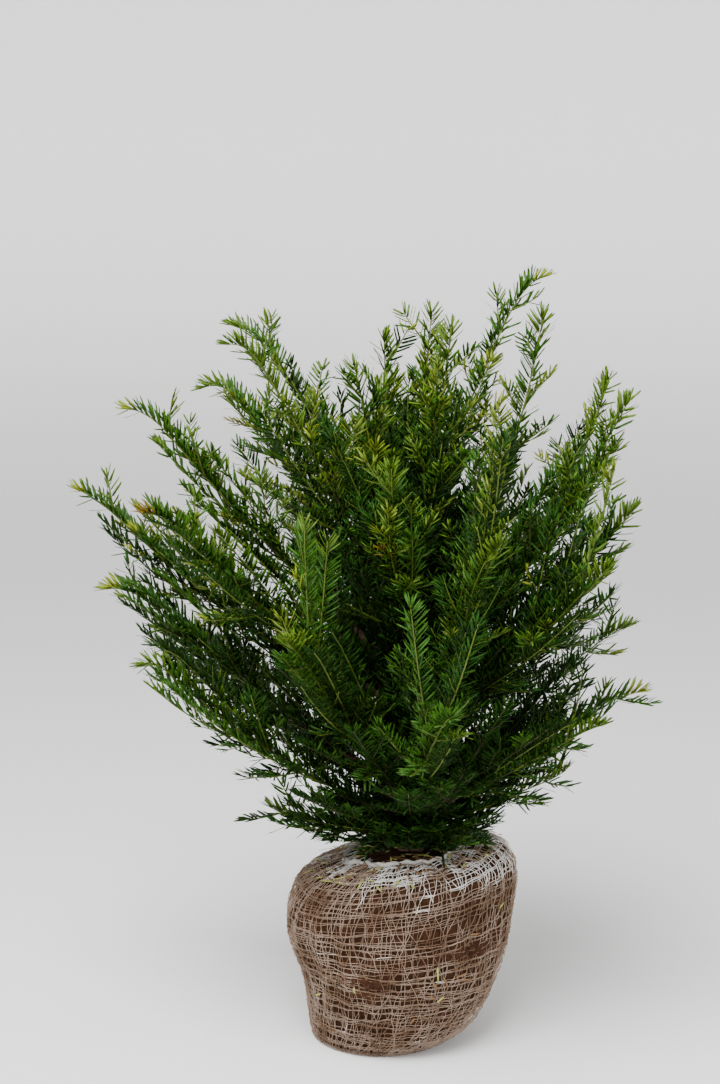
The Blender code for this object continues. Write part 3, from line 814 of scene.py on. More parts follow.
def grow():
    """Every shoot of the crown, from the leaders to the finest twigs."""
    paths = {name: shoot_path(row) for name, row in SHOOTS.items()}
    rng = np.random.default_rng(SEED + TWIG_SEED)
    shoots = []

    def add(row, rank, path, foot, outer, bare=0.0):
        radii = np.linspace(foot, 0.5 * foot, len(path))
        shoots.append(Shoot(row, rank, path, radii, outer, bare))

    def add_twigs(row, path, outer):
        for twig in fine_twigs(path, rng):
            add(row, 2, twig, TWIG_RADIUS, outer)

    for number, (name, row) in enumerate(SHOOTS.items()):
        path, bare = paths[name], row[-1]
        run = along(path)[-1]
        start = bare * run + GAP if bare else STEM_BITE * float(stem_radius(row[3]))
        leader = at_distance(path, np.linspace(start, run, PATH_POINTS))
        others = np.concatenate([other for key, other in paths.items() if key != name])
        spread = np.linspace(start, run - TIP_INSET, PATH_POINTS)
        radii = LEADER_SLIMNESS * limb_radius(run, spread / run)
        shoots.append(Shoot(name, 0, at_distance(path, spread), radii, 1.0))

        beside = [(*entry, 1.0) for entry in companions(leader, number, COMPANIONS_OF.get(name, COMPANIONS))]
        beside += [(*entry, RISER_SHADE) for entry in risers(leader, number, RISERS.get(name, 0))]
        for place, side, shade in beside:
            side = own_part(side, leader, others, COMPANION_MARGIN)
            if along(side)[-1] < COMPANION_SHORTEST:
                continue
            side = evenly(side, 4 * SIDE_POINTS)
            outer = shade * float(np.clip(bare + (1 - bare) * place + BESIDE_OUTER, 0, 1))
            add(name, 1, side, COMPANION_RADIUS, outer)
            for at, spur in side_shoots(side, COMPANION_SPUR_SEED + number, *COMPANION_SPURS, SPUR_SHORTEST):
                if at < SPURS_TO:
                    add(name, 2, own_part(spur, leader, others, SPUR_MARGIN), TWIG_RADIUS, outer)

        ranks = [(entry, 1) for entry in side_shoots(leader, number)]
        spurs = side_shoots(leader, SPUR_SEED + number, SPURS, SPUR_SHARE, SPUR_LONGEST, SPUR_SHORTEST)
        ranks += [(entry, 2) for entry in spurs if entry[0] < SPURS_TO]
        for (place, side), rank in ranks:
            side = own_part(side, leader, others, SIDE_MARGIN)
            length = along(side)[-1]
            if length < STUB * SPUR_SHORTEST:
                continue
            side = evenly(side, SIDE_POINTS)
            outer = float(np.clip(bare + (1 - bare) * place, 0, 1))
            add(name, rank, side, SIDE_TWIG_RADIUS if rank == 1 else TWIG_RADIUS, outer)
            if length > TWIGS_ON and place < TWIGS_TO:
                add_twigs(name, side, outer)

    for path, outer in stem_shoots():
        near = min(SHOOTS, key=lambda key: np.linalg.norm(paths[key] - path[-1], axis=1).min())
        add(near, 1, path, SIDE_TWIG_RADIUS, outer, STEM_SHOOT_BARE)
        add_twigs(near, path, outer)
    return shoots


# Meshes from arrays


def mesh_piece(name, places, triangles, materials, kinds=None, smooth=False):
    """A mesh object at the origin from arrays of corners and triangles, with a material number
    for each triangle where there are several.
    """
    mesh = bpy.data.meshes.new(name)
    mesh.vertices.add(len(places))
    mesh.vertices.foreach_set("co", np.ascontiguousarray(places, np.float32).ravel())
    mesh.loops.add(len(triangles) * 3)
    mesh.loops.foreach_set("vertex_index", np.ascontiguousarray(triangles, np.int32).ravel())
    mesh.polygons.add(len(triangles))
    mesh.polygons.foreach_set("loop_start", np.arange(0, len(triangles) * 3, 3, dtype=np.int32))
    for material in materials:
        mesh.materials.append(material)
    if kinds is not None:
        mesh.polygons.foreach_set("material_index", np.ascontiguousarray(kinds, np.int32))
    mesh.update(calc_edges=True)
    if smooth:
        mesh.shade_smooth()
    mesh.validate()
    obj = bpy.data.objects.new(name, mesh)
    bpy.context.scene.collection.objects.link(obj)
    return obj


def finished(piece, slot, *nodes):
    """Rides the piece on the plant's one body, in place of the nodes it stands for."""
    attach(piece, BODY)
    if nodes:
        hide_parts(*nodes)


def walls(rows, columns, order="adbbdc"):
    """Triangles between closed rings. Each patch has the corners a and b, one after the other
    round a ring, and d and c over them, and the order gives those of its two triangles.
    """
    row, column = np.meshgrid(np.arange(rows - 1), np.arange(columns), indexing="ij")
    a = row * columns + column
    b = row * columns + (column + 1) % columns
    corners = {"a": a, "b": b, "c": b + columns, "d": a + columns}
    return np.stack([corners[letter] for letter in order], -1).reshape(-1, 3)


def fan(point, ring):
    """Triangles from one corner to each edge of a closed ring."""
    return np.stack([np.full(len(ring), point), ring, np.roll(ring, -1)], -1)


def other_way_round(triangles):
    return triangles[:, [0, 2, 1]]


def tubes(centres, radii, sides, reference=None, relief=None):
    """Corners and triangles of many closed tubes at once.

    centres holds K paths of P points, and radii their radii. A ring's corner j stands at
    c + r (cos(2 pi j / sides) n + sin(2 pi j / sides) b), with n and b square to the path. n is
    kept in the plane of a reference vector, and a point closes each end.
    """
    count, points = centres.shape[:2]
    ahead = unit(np.gradient(centres, axis=1) + 1e-12)
    if reference is None:
        mean = np.abs(ahead.mean(1))
        reference = np.eye(3)[mean.argmin(1)][:, None, :]
    across = unit(np.cross(ahead, np.broadcast_to(reference, ahead.shape)) + 1e-9)
    normal = np.cross(across, ahead)
    turn = 2 * np.pi * np.arange(sides) / sides
    size = np.broadcast_to(radii[..., None], (count, points, sides)).copy()
    if relief is not None:
        size *= 1 + relief(turn[None, None, :], centres)
    ring = turned(turn[:, None], normal[:, :, None, :], across[:, :, None, :])
    rings = centres[:, :, None, :] + size[..., None] * ring
    past = radii[..., [0, -1]][..., None] * np.array([[-0.5], [0.5]])
    ends = centres[:, [0, -1]] + ahead[:, [0, -1]] * past
    places = np.concatenate([rings.reshape(count, -1, 3), ends], axis=1)

    corners = np.arange(points * sides)
    first_cap = fan(points * sides, corners[:sides])
    last_cap = other_way_round(fan(points * sides + 1, corners[-sides:]))
    triangles = np.concatenate([walls(points, sides), first_cap, last_cap])
    offsets = (points * sides + 2) * np.arange(count)[:, None, None]
    return places.reshape(-1, 3), (triangles[None] + offsets).reshape(-1, 3)


def by_stretch(kinds, sides):
    """Material numbers of the triangles of tubes, from one number for each stretch between two
    rings: those of the walls, and then those of both ends.
    """
    ends = np.repeat(kinds[:, [0, -1]], sides, axis=1)
    return np.concatenate([np.repeat(kinds, 2 * sides, axis=1), ends], 1).ravel()


def merged(parts):
    """Several (corners, triangles, kinds) joined into one."""
    places, triangles, kinds = zip(*parts)
    starts = np.cumsum([0] + [len(corners) for corners in places[:-1]])
    moved = [some + start for some, start in zip(triangles, starts)]
    filled = [np.broadcast_to(kind, len(some)) for kind, some in zip(kinds, triangles)]
    return np.concatenate(places), np.concatenate(moved), np.concatenate(filled)


def flat_needles(base, ahead, normal, forward, length, width, curl):
    """Corners and triangles of many needles, each a closed blade of seven corners.

    The centre line is base + length (s ahead + curl s^2 forward). The outline has a point at both
    ends and its width at shares 0.14 and 0.80 of the length. One corner is raised over the middle
    and joined to the whole outline, and the underside is flat.
    """
    side = np.cross(normal, ahead)
    shares, widths, heights = NEEDLE_CORNERS.T
    run = length[:, None] * shares
    places = (
        base[:, None, :]
        + run[..., None] * ahead[:, None, :]
        + (curl[:, None] * run * shares)[..., None] * forward[:, None, :]
        + (width[:, None] * widths)[..., None] * side[:, None, :]
        + (width[:, None] * heights)[..., None] * normal[:, None, :]
    )
    ridge = len(NEEDLE_CORNERS) - 1
    triangles = np.concatenate([fan(ridge, np.arange(ridge)), NEEDLE_UNDERSIDE])
    offsets = len(NEEDLE_CORNERS) * np.arange(len(base))[:, None, None]
    return places.reshape(-1, 3), (triangles[None] + offsets).reshape(-1, 3)


# Foliage


def growing(distance, least, over):
    """Goes from the least share at no distance to 1 at the distance over."""
    return least + (1 - least) * smooth_step(distance, 0.0, over)


def needles_on(shoot, settings, rng):
    """Where a shoot's needles stand.

    Needles leave the shoot by turns to its left and right, lifted above the level, and the more
    upright the shoot is, the more of them stand all round it. They point forward by the forward
    angle, closing to a brush at the tip. The upper face looks up on a level shoot and forward on
    an upright one.
    """
    run = along(shoot.path)[-1]
    count = max(LEAST_NEEDLES, int((run - shoot.bare) / (settings.pitch * PITCH_OF_RANK[shoot.rank])))
    even = (np.arange(count) + rng.uniform(*PLACE_IN_STEP, count)) / count
    where = shoot.bare + (run - shoot.bare) * (1 - (1 - even) ** TIP_CROWDING)
    foot = at_distance(shoot.path, where)
    tangent = at_distance(shoot.path, where + NEEDLE_SPAN) - at_distance(shoot.path, where - NEEDLE_SPAN)
    tangent = unit(tangent)
    outward = unit(foot - stem_axis(foot[:, 2]) + 1e-6)
    up = unit(square(UP - HANG * outward, tangent))
    across = np.cross(tangent, up)
    steep = smooth_step(np.abs(tangent[:, 2]), *STEEP)
    swing = (steep * rng.uniform(-SWING, SWING))[:, None]
    across, up = turned(swing, across, up), turned(swing, up, -across)

    number = np.arange(count)
    lift = np.radians(LIFTS_OF_RANK[shoot.rank])[(number // 2) % 3]
    lift = lift + np.radians(rng.normal(0, LIFT_CHANCE, count))
    turn = np.where(number % 2, np.pi - lift, lift)
    round_it = rng.random(count) < ROUND_SHARE[0] + ROUND_SHARE[1] * steep
    turn = np.where(round_it, np.radians(SIDE_TURN) * number, turn)[:, None]
    out = turned(turn, across, up)

    to_tip = run - where
    closing = growing(to_tip, *BRUSH)
    forward = settings.forward * closing * rng.normal(1.0, FORWARD_CHANCE, count)
    ahead = turned(forward[:, None], tangent, out)
    level_face = FACE_UP * up + FACE_FORWARD * tangent
    steep_face = tangent + FACE_OUT * out
    face = (1 - steep)[:, None] * level_face + steep[:, None] * steep_face
    normal = unit(square(face, ahead))
    roll = (rng.normal(0, settings.twist, count) * (1 + STEEP_TWIST * steep))[:, None]
    normal = turned(roll, normal, np.cross(ahead, normal))

    profile = growing(where - shoot.bare, *AT_FOOT) * growing(to_tip, *AT_TIP)
    length = settings.length * LENGTH_OF_RANK[shoot.rank] * profile * rng.normal(1.0, LENGTH_CHANCE, count)
    width = settings.width * rng.normal(1.0, WIDTH_CHANCE, count) * (1 - NARROWING + NARROWING * profile)
    radius = np.interp(where, np.linspace(0, run, len(shoot.radii)), shoot.radii)
    base = foot + out * (SUNK * radius)[:, None]
    return base, ahead, normal, square(tangent, ahead), length, width, rng.normal(*CURL, count), to_tip


def tint_numbers(shoot, to_tip, rng):
    """A shoot's tint, one for the spray and one for its tip.

    The shares of the tints go from the shaded tints to the lit ones with the light, which grows with the
    height and with the distance from the stem, so that light and shade are painted into the needles.
    SUNNY_TINTS add painted sunlight on the left shoulder, CREST_TINTS painted light at the top, and
    TUFT_TINTS young tips to the twigs, most of all on the sunny left shoulder. Low down and inside no
    spray is lighter than mid, as painted shade.
    """
    mean = shoot.path.mean(0)
    height = (mean[2] - BALL_TOP) / CROWN_HEIGHT
    from_stem = np.linalg.norm(mean[:2] - stem_axis(mean[2])[:2])
    light = LIGHT_OUT * shoot.outer + LIGHT_UP * height + LIGHT_ASIDE * from_stem - LIGHT_LOSS
    light += LOW_LIGHT * shoot.outer * (1 - smooth_step(height, *LOW_BAND))
    light = float(np.clip(light, LEAST_LIGHT, 1)) * (1.0 if shoot.outer else INSIDE_LIGHT)
    apart = (mean[[0, 2]] - SUNNY_PLACE) / SUNNY_SIZE
    sunny = float(np.exp(-(apart**2).sum()))
    # Painted light and shade: the tints go from shaded to lit with the light
    shares = (1 - light) * SHADED_TINTS + light * LIT_TINTS + sunny * shoot.outer * SUNNY_TINTS
    shares = shares + smooth_step(height, *CREST_BAND) * CREST_TINTS
    if shoot.rank == 2:
        shares = shares + (TUFTS + SUNNY_TUFTS * sunny) * shoot.outer * TUFT_TINTS
    spray = int(rng.choice(len(TINTS), p=shares / shares.sum()))
    # Painted shade: low down and inside, no spray is lighter than mid
    if height < SHADE_TO or (shoot.outer < INNER and height < INNER_SHADE_TO):
        spray = min(spray, MID)
    tip, tip_length = spray, 0.0
    chance = rng.random()
    if shoot.rank == 0:
        tip, tip_length = LEADER_TIPS.get(shoot.row, PLAIN_LEADER_TIP)
        spray = max(spray, MID)
    elif light > TIP_LIGHT and chance < TIPS + LIT_TIPS * light:
        tip = min(spray + 1, OLIVE) if chance > LIT_LIME * light + SUNNY_LIME * sunny else LIME
        tip_length = rng.uniform(*TIP_LENGTHS)
    return np.where(to_tip < tip_length, tip, spray)


def foliage_arrays(shoots, settings):
    """Needle arrays for these shoots, joined, with the tint of each needle."""
    rng = np.random.default_rng(SEED + NEEDLE_SEED + len(shoots))
    gathered = []
    for shoot in shoots:
        *placed, to_tip = needles_on(shoot, settings, rng)
        gathered.append((*placed, tint_numbers(shoot, to_tip, rng)))
    return [np.concatenate(column) for column in zip(*gathered)]


# Root ball


def skin_profile(points=260, blur=11):
    """Radius and height up the ball's skin at equal steps, from the edge of the underside to the
    seat, rounded by a running mean, with the unit normal in that plane and the length of it all.
    """
    outline = np.array([(radius, height) for height, radius, _ in BALL_PROFILE] + [(STEM_SEAT, BALL_TOP)])
    padded = np.pad(evenly(outline, points), ((blur, blur), (0, 0)), "edge")
    kernel = np.ones(2 * blur + 1) / (2 * blur + 1)
    line = np.stack([np.convolve(column, kernel, "valid") for column in padded.T], -1)
    step = np.gradient(line, axis=0)
    normal = unit(np.stack([step[:, 1], -step[:, 0]], -1) + 1e-12)
    return line, normal, along(outline)[-1]


SKIN, SKIN_NORMAL, SKIN_RUN = skin_profile()


def ball_skin(angle, share, out):
    """A point of the ball's skin: the turned profile at that share of its run, moved out along
    its normal, made lumpy by two sines of the angle and height, folded by one more, leaned, and
    tilted at the top.
    """
    at = np.clip(share, 0, 1) * (len(SKIN) - 1)
    steps = np.arange(len(SKIN))
    radius, z = (np.interp(at, steps, column) for column in SKIN.T)
    out_r, out_z = (np.interp(at, steps, column) for column in SKIN_NORMAL.T)
    heights, _, leans = np.array(BALL_PROFILE).T
    off_seat = smooth_step(radius, STEM_SEAT, SEAT_RIM)
    lump = sum(size * np.sin(times * angle + climb * z + phase) for size, times, climb, phase in LUMP_WAVES)
    grown = 1 + LUMPS * lump * off_seat * smooth_step(z, 0.0, LUMPS_FROM)
    lean = np.interp(z, heights, leans)
    lean = np.where(z > heights[-1], STEM_FOOT + (leans[-1] - STEM_FOOT) * off_seat, lean)
    tilt = BALL_TILT * radius * np.cos(angle) * off_seat * smooth_step(z, *TILT_BAND)
    fold = FOLD_DEPTH * np.cos(FOLDS * angle) * off_seat * smooth_step(z, 0.0, FOLDS_FROM)
    fade, times, climb = FOLD_FADE
    fold = fold * (1 - fade + fade * np.sin(times * angle + climb * z))
    over = smooth_step(z, *OVER_BAND)
    radius = radius * grown + (1 - over) * fold + out * out_r
    z = np.maximum(z + tilt + over * fold + out * out_z, LOWEST)
    return np.stack([radius * np.cos(angle) + lean, radius * np.sin(angle), z], -1)


def on_skin(angle, share, out):
    """Points of the ball's skin, with the way out of it at each."""
    points = ball_skin(angle, share, out)
    return points, ball_skin(angle, share, out + 0.01) - points


def waves(place, seed, size, octaves=5):
    """Smooth relief from -1 to 1: a sum of sines along seeded directions. Each octave is FINER
    than the one before and LOWER.
    """
    rng = np.random.default_rng(seed)
    total, weight = 0.0, 0.0
    for octave in range(octaves):
        for _ in range(4):
            direction = unit(rng.normal(size=3)) * 2 * np.pi / (size / FINER**octave)
            total = total + LOWER**octave * np.sin(place @ direction + rng.uniform(0, 2 * np.pi))
        weight += LOWER**octave * WAVE_WEIGHT
    return np.clip(total / weight, -1, 1)


def mud_at(place):
    """Muddy patches from 0 to 1: round each spot they fade with the square of the distance."""
    total = 0.0
    for angle, share in MUD_SPOTS:
        apart = (place - ball_skin(np.array(angle), np.array(share), 0.0)) / MUD_SIZE
        total = total + np.exp(-(apart**2).sum(-1))
    return total


def wander(rng, count, distance, size, low=0.022, high=0.11):
    """A sideways drift for each of count threads: three sines of seeded wavelength and phase."""
    total = np.zeros((count, len(distance)))
    for share in DRIFT_WAVES:
        wave = rng.uniform(low, high, (count, 1)) * share
        phase = rng.uniform(0, 2 * np.pi, (count, 1))
        total += share * np.sin(2 * np.pi * distance[None, :] / wave + phase)
    return size * total / DRIFT_HEIGHT


# Shader maths


class Sum:
    """A shader socket that takes part in Python sums and products."""

    def __init__(self, look, socket):
        self.look = look
        self.socket = socket

    def maths(self, operation, first, second):
        return self.look.node("ShaderNodeMath", {"operation": operation}, {0: first, 1: second})

    def __add__(self, other):
        return self.maths("ADD", self, other)

    def __radd__(self, other):
        return self.maths("ADD", other, self)

    def __mul__(self, other):
        return self.maths("MULTIPLY", self, other)

    def __rmul__(self, other):
        return self.maths("MULTIPLY", other, self)


class Look:
    """A Principled material under construction."""

    def __init__(self, name, **constants):
        self.material = bpy.data.materials.new(name)
        self.material.use_nodes = True
        self.tree = self.material.node_tree
        self.shader = self.tree.nodes["Principled BSDF"]
        self.out(**constants)

    def node(self, kind, settings=None, values=None, output=0):
        """Adds a node: its settings first, then the values or links of its sockets."""
        made = self.tree.nodes.new(kind)
        for key, value in (settings or {}).items():
            setattr(made, key, value)
        for key, value in (values or {}).items():
            self.feed(made.inputs[key], value)
        return Sum(self, made.outputs[output])

    def feed(self, socket, value):
        if isinstance(value, Sum):
            self.tree.links.new(value.socket, socket)
        elif socket.type == "RGBA":
            socket.default_value = (*value, 1.0)
        else:
            socket.default_value = value

    def place(self):
        return self.node("ShaderNodeTexCoord", output="Object")

    def noise(self, size, detail=3.0, roughness=0.55, where=None):
        values = {"Vector": where or self.place(), "Scale": 1 / size}
        return self.node("ShaderNodeTexNoise", {}, {**values, "Detail": detail, "Roughness": roughness})

    def spread(self, value, low, high, kind="LINEAR"):
        """0 up to low, 1 from high on, and in between in the way of its kind."""
        return self.node("ShaderNodeMapRange", {"interpolation_type": kind}, {0: value, 1: low, 2: high})

    def mix(self, share, first, second):
        """A colour between two: sockets 0, 6 and 7 of the Mix node are its share and its colours."""
        return self.node("ShaderNodeMix", {"data_type": "RGBA"}, {0: share, 6: first, 7: second}, output=2)

    def bump(self, height, distance):
        bump = self.node("ShaderNodeBump", {}, {"Height": height, "Distance": distance, "Strength": 1.0})
        self.feed(self.shader.inputs["Normal"], bump)

    def out(self, **values):
        for socket, value in values.items():
            self.feed(self.shader.inputs[socket.replace("_", " ")], value)
        return self.material


def shaded(colour, share):
    return tuple(min(1.0, share * channel) for channel in colour)


def needle_look(name, colour, roughness, shine):
    """Plain waxy green. The tint is dealt out by spray, so it carries no pattern."""
    return Look(name, Roughness=roughness, Specular_IOR_Level=shine).out(Base_Color=colour)


def bark_look(settings):
    """Red-brown bark in long scales: noise stretched up the stem mixes in grey flakes."""
    look = Look("bark", Roughness=0.86, Specular_IOR_Level=0.25)
    up = look.node("ShaderNodeMapping", {}, {"Vector": look.place(), "Scale": (1.0, 1.0, 0.28)})
    scales = look.noise(0.0030, detail=4.0, roughness=0.6, where=up)
    patches = look.noise(0.0110)
    flakes = look.spread(scales + 0.6 * patches, 0.66, 0.98)
    base = look.mix(look.spread(patches, 0.35, 0.62), shaded(settings.bark, 0.42), settings.bark)
    look.bump(scales + 0.3 * patches, 0.0008)
    return look.out(Base_Color=look.mix(flakes, base, settings.flakes))


def twig_look(name, colour):
    """Smooth bark of a young shoot, mottled with a darker shade of its green."""
    look = Look(name, Roughness=0.55, Specular_IOR_Level=0.3)
    return look.out(Base_Color=look.mix(look.noise(0.006, detail=2.0), shaded(colour, 0.55), colour))


def thread_look(name, colour):
    """Matt jute: the colour of a thread wavers a little, and its fibres raise a fine bump."""
    look = Look("thread_" + name, Roughness=0.93, Specular_IOR_Level=0.15)
    fibres = look.noise(0.0009, detail=2.0)
    stain = look.noise(0.0140)
    look.bump(fibres, 0.0003)
    share = 0.55 * stain + 0.45 * fibres
    return look.out(Base_Color=look.mix(share, shaded(colour, 0.70), shaded(colour, 1.12)))


def earth_look(settings):
    """Crumbly earth, kept dark as painted shade under the net: two sizes of noise mix a paler and a darker
    brown, the darker mostly where the bump is low, and roughen the surface.
    """
    look = Look("earth", Roughness=0.97, Specular_IOR_Level=0.1)
    clods = look.noise(0.0160, detail=4.0, roughness=0.6)
    crumbs = look.noise(0.0030, detail=4.0, roughness=0.65)
    look.bump(0.6 * clods + 0.4 * crumbs, 0.0022)
    # The darker brown goes where the bump is low
    raised_share = look.spread(0.55 * clods + 0.45 * crumbs, 0.40, 0.60)
    return look.out(Base_Color=look.mix(raised_share, settings.earth_in_hollows, settings.earth))


def backdrop_look(settings):
    """Pale paper whose tone wavers a little. It glows from the bend upwards, as if lit from behind."""
    look = Look("backdrop", Roughness=0.9, Emission_Strength=settings.glow)
    pale = settings.backdrop
    height = look.node("ShaderNodeSeparateXYZ", {}, {0: look.place()}, output=2)
    glow = look.mix(look.spread(height, -0.1, 0.9, "SMOOTHSTEP"), (0.0, 0.0, 0.0), pale)
    tone = look.mix(look.noise(0.9, detail=2.0), shaded(pale, 0.97), pale)
    return look.out(Base_Color=tone, Emission_Color=glow)


# Operators


class YEW_OT_stage(bpy.types.Operator):
    """Sets up the pale backdrop, the soft lamps and the camera"""

    bl_idname = "yew.stage"
    bl_label = "Stage"

    def execute(self, context):
        settings = context.scene.yew_stage
        self.backdrop(settings)
        self.lamp("key_lamp", *KEY_LAMP, settings.key)
        self.lamp("fill_lamp", *FILL_LAMP, settings.fill)
        world = bpy.data.worlds.new("studio")
        world.use_nodes = True
        shade = world.node_tree.nodes["Background"]
        shade.inputs["Color"].default_value = SKY_TINT
        shade.inputs["Strength"].default_value = settings.sky
        context.scene.world = world
        camera = bpy.data.cameras.new("camera")
        camera.sensor_fit = "VERTICAL"
        camera.sensor_height = SENSOR_HEIGHT
        camera.lens = settings.lens
        viewer = bpy.data.objects.new("camera", camera)
        viewer.location = CAMERA_PLACE
        viewer.rotation_euler = (np.pi / 2 - settings.pitch, 0.0, 0.0)
        context.scene.collection.objects.link(viewer)
        context.scene.camera = viewer
        return {"FINISHED"}

    def backdrop(self, settings):
        """Floor and wall in one sheet: floor, quarter circle and wall, turned once round +Z."""
        turn = np.linspace(0, np.pi / 2, 24)
        wall = FLOOR_RADIUS + BEND_RADIUS
        radius = np.concatenate([[0.5, 1.5], FLOOR_RADIUS + BEND_RADIUS * np.sin(turn), [wall]])
        z = np.concatenate([[0.0, 0.0], BEND_RADIUS * (1 - np.cos(turn)), [WALL_TOP]])
        angle = 2 * np.pi * np.arange(BACKDROP_COLUMNS) / BACKDROP_COLUMNS
        spokes = np.stack([np.cos(angle), np.sin(angle), np.ones(BACKDROP_COLUMNS)], -1)
        rings = np.stack([radius, radius, z], -1)[:, None] * spokes
        places = np.concatenate([rings.reshape(-1, 3), np.zeros((1, 3))])
        middle = fan(len(places) - 1, np.arange(BACKDROP_COLUMNS))
        triangles = np.concatenate([walls(len(z), BACKDROP_COLUMNS), middle])
        mesh_piece("backdrop", places, triangles, [backdrop_look(settings)], smooth=True)

    def lamp(self, name, place, size, power):
        data = bpy.data.lights.new(name, "AREA")
        data.energy = power
        data.size = size
        lamp = bpy.data.objects.new(name, data)
        lamp.location = place
        look = unit(LIT_PLACE - np.array(place))
        lamp.rotation_euler = (np.arccos(-look[2]), 0.0, np.arctan2(look[0], -look[1]) + np.pi)
        bpy.context.scene.collection.objects.link(lamp)


class YEW_OT_wood(bpy.types.Operator):
    """Covers the stem and the boughs with ridged bark"""

    bl_idname = "yew.wood"
    bl_label = "Stem and boughs"

    def execute(self, context):
        settings = context.scene.yew_wood

        def relief(turn, centres):
            """Ridges that run along the limb: sines of the angle whose phase drifts with height.
            At its foot the stem flares out between lobes.
            """
            drift = waves(centres, 11, RIDGE_DRIFT)[:, :, None]
            fine = waves(centres, 12, SCALE_SIZE)[:, :, None]
            ridges = np.sin(7 * turn + 5 * drift) + 0.6 * np.sin(11 * turn - 6 * drift + 3 * fine)
            low = 1 - smooth_step(centres[:, :, None, 2], BALL_TOP, BALL_TOP + FLARE_HEIGHT)
            lobes = FLARE_DEPTH * low * (0.5 - 0.5 * np.cos(FLARE_LOBES * turn))
            return settings.relief * RIDGES * ridges + SCALES * fine - lobes

        z = np.linspace(BALL_TOP + GAP, BALL_TOP + STEM_PROFILE[-1][0], STEM_RINGS)
        reference = np.array([0.0, 1.0, 0.0])
        parts = [(*tubes(stem_axis(z)[None], stem_radius(z)[None], STEM_SIDES, reference, relief), 0)]
        boughs = {name: row for name, row in SHOOTS.items() if row[-1]}
        for row in boughs.values():
            path = shoot_path(row)
            run = along(path)[-1]
            share = np.linspace(0, row[-1] + BOUGH_PAST, BOUGH_RINGS)
            centres = at_distance(path, share * run)[None]
            parts.append((*tubes(centres, limb_radius(run, share)[None], BOUGH_SIDES, None, relief), 0))
        places, triangles, kinds = merged(parts)
        places[:, 2] = np.maximum(places[:, 2], BALL_TOP + GAP)
        piece = mesh_piece("stem_and_boughs", places, triangles, [bark_look(settings)], kinds, smooth=True)
        finished(piece, "bark", "trunk", *("bough_" + name for name in boughs))
        return {"FINISHED"}


class YEW_OT_twigs(bpy.types.Operator):
    """Draws the stems of all the leafy shoots, brown at their foot and green further out"""

    bl_idname = "yew.twigs"
    bl_label = "Twigs"

    def execute(self, context):
        settings = context.scene.yew_wood
        looks = [bark_look(settings)]
        looks += [twig_look("wood_middle", settings.middle), twig_look("wood_young", settings.young)]
        shoots = grow()
        parts = []
        for rank, (points, sides) in enumerate(TUBE_OF_RANK):
            chosen = [shoot for shoot in shoots if shoot.rank == rank]
            centres = np.stack([evenly(shoot.path, points) for shoot in chosen])
            spread = np.linspace(0, 1, points)
            radii = np.stack([np.interp(spread, np.linspace(0, 1, len(s.radii)), s.radii) for s in chosen])
            outer = np.array([shoot.outer for shoot in chosen])[:, None]
            youth = np.zeros((len(chosen), points - 1)) + (TWIG_YOUTH + outer if rank else spread[:-1])
            kinds = np.searchsorted(YOUTH_STEPS, youth, side="right")
            parts.append((*tubes(centres, radii, sides), by_stretch(kinds, sides)))
        places, triangles, kinds = merged(parts)
        finished(mesh_piece("twigs", places, triangles, looks, kinds, smooth=True), "bark")
        return {"FINISHED"}


class YEW_OT_needles(bpy.types.Operator):
    """Sets the needles on every shoot, in one piece for each part of the crown"""

    bl_idname = "yew.needles"
    bl_label = "Needles"

    def execute(self, context):
        settings = context.scene.yew_needles
        shoots = grow()
        looks = []
        for number, tint in enumerate(TINTS):
            colour = np.array(getattr(settings, tint))
            shine = SHADED_SHINE if number in (DARK, DEEP) else SHINE
            looks.append(needle_look("needle_" + tint, colour, 0.36, shine))
            under = (1 - UNDERSIDE_SHARE) * colour + UNDERSIDE_SHARE * UNDERSIDE
            looks.append(needle_look("underside_" + tint, under, 0.62, 0.03))
        for name, rows in CROWN_PARTS.items():
            *arrays, tints = foliage_arrays([shoot for shoot in shoots if shoot.row in rows], settings)
            places, triangles = flat_needles(*arrays)
            kinds = np.repeat(2 * tints, NEEDLE_FACES).reshape(-1, NEEDLE_FACES)
            kinds[:, TOP_FACES:] += 1
            piece = mesh_piece(name, places, triangles, looks, kinds.ravel())
            finished(piece, "needles", *("foliage_" + row for row in rows))
        return {"FINISHED"}


class YEW_OT_earth(bpy.types.Operator):
    """Models the earth inside the net, with clods, pits and muddy patches that clog the net"""

    bl_idname = "yew.earth"
    bl_label = "Earth"

    def execute(self, context):
        settings = context.scene.yew_ball
        round_it = 2 * np.pi * np.arange(EARTH_COLUMNS) / EARTH_COLUMNS
        angle, share = np.meshgrid(round_it, np.linspace(0, 1, EARTH_ROWS))
        skin = ball_skin(angle, share, 0.0)
        clods = waves(skin, 21, CLOD_SIZE)
        crumbs = waves(skin, 22, CRUMB_SIZE)
        mud = (MUD_HEIGHT + MUD_CRUMBS * crumbs) * mud_at(skin)
        out = EARTH_SINK + CLOD_HEIGHT * clods + CRUMB_HEIGHT * crumbs + mud
        top = (STEM_FOOT, 0.0, ball_skin(0.0, 1.0, 0.0)[2])
        places = np.concatenate([ball_skin(angle, share, out).reshape(-1, 3), [(0.0, 0.0, LOWEST), top]])
        corners = np.arange(EARTH_ROWS * EARTH_COLUMNS)
        under = other_way_round(fan(len(corners), corners[:EARTH_COLUMNS]))
        over = fan(len(corners) + 1, corners[-EARTH_COLUMNS:])
        triangles = np.concatenate([walls(EARTH_ROWS, EARTH_COLUMNS, "abcacd"), under, over])
        piece = mesh_piece("earth", places, triangles, [earth_look(settings)], smooth=True)
        finished(piece, "netted_soil", "root_ball")
        return {"FINISHED"}


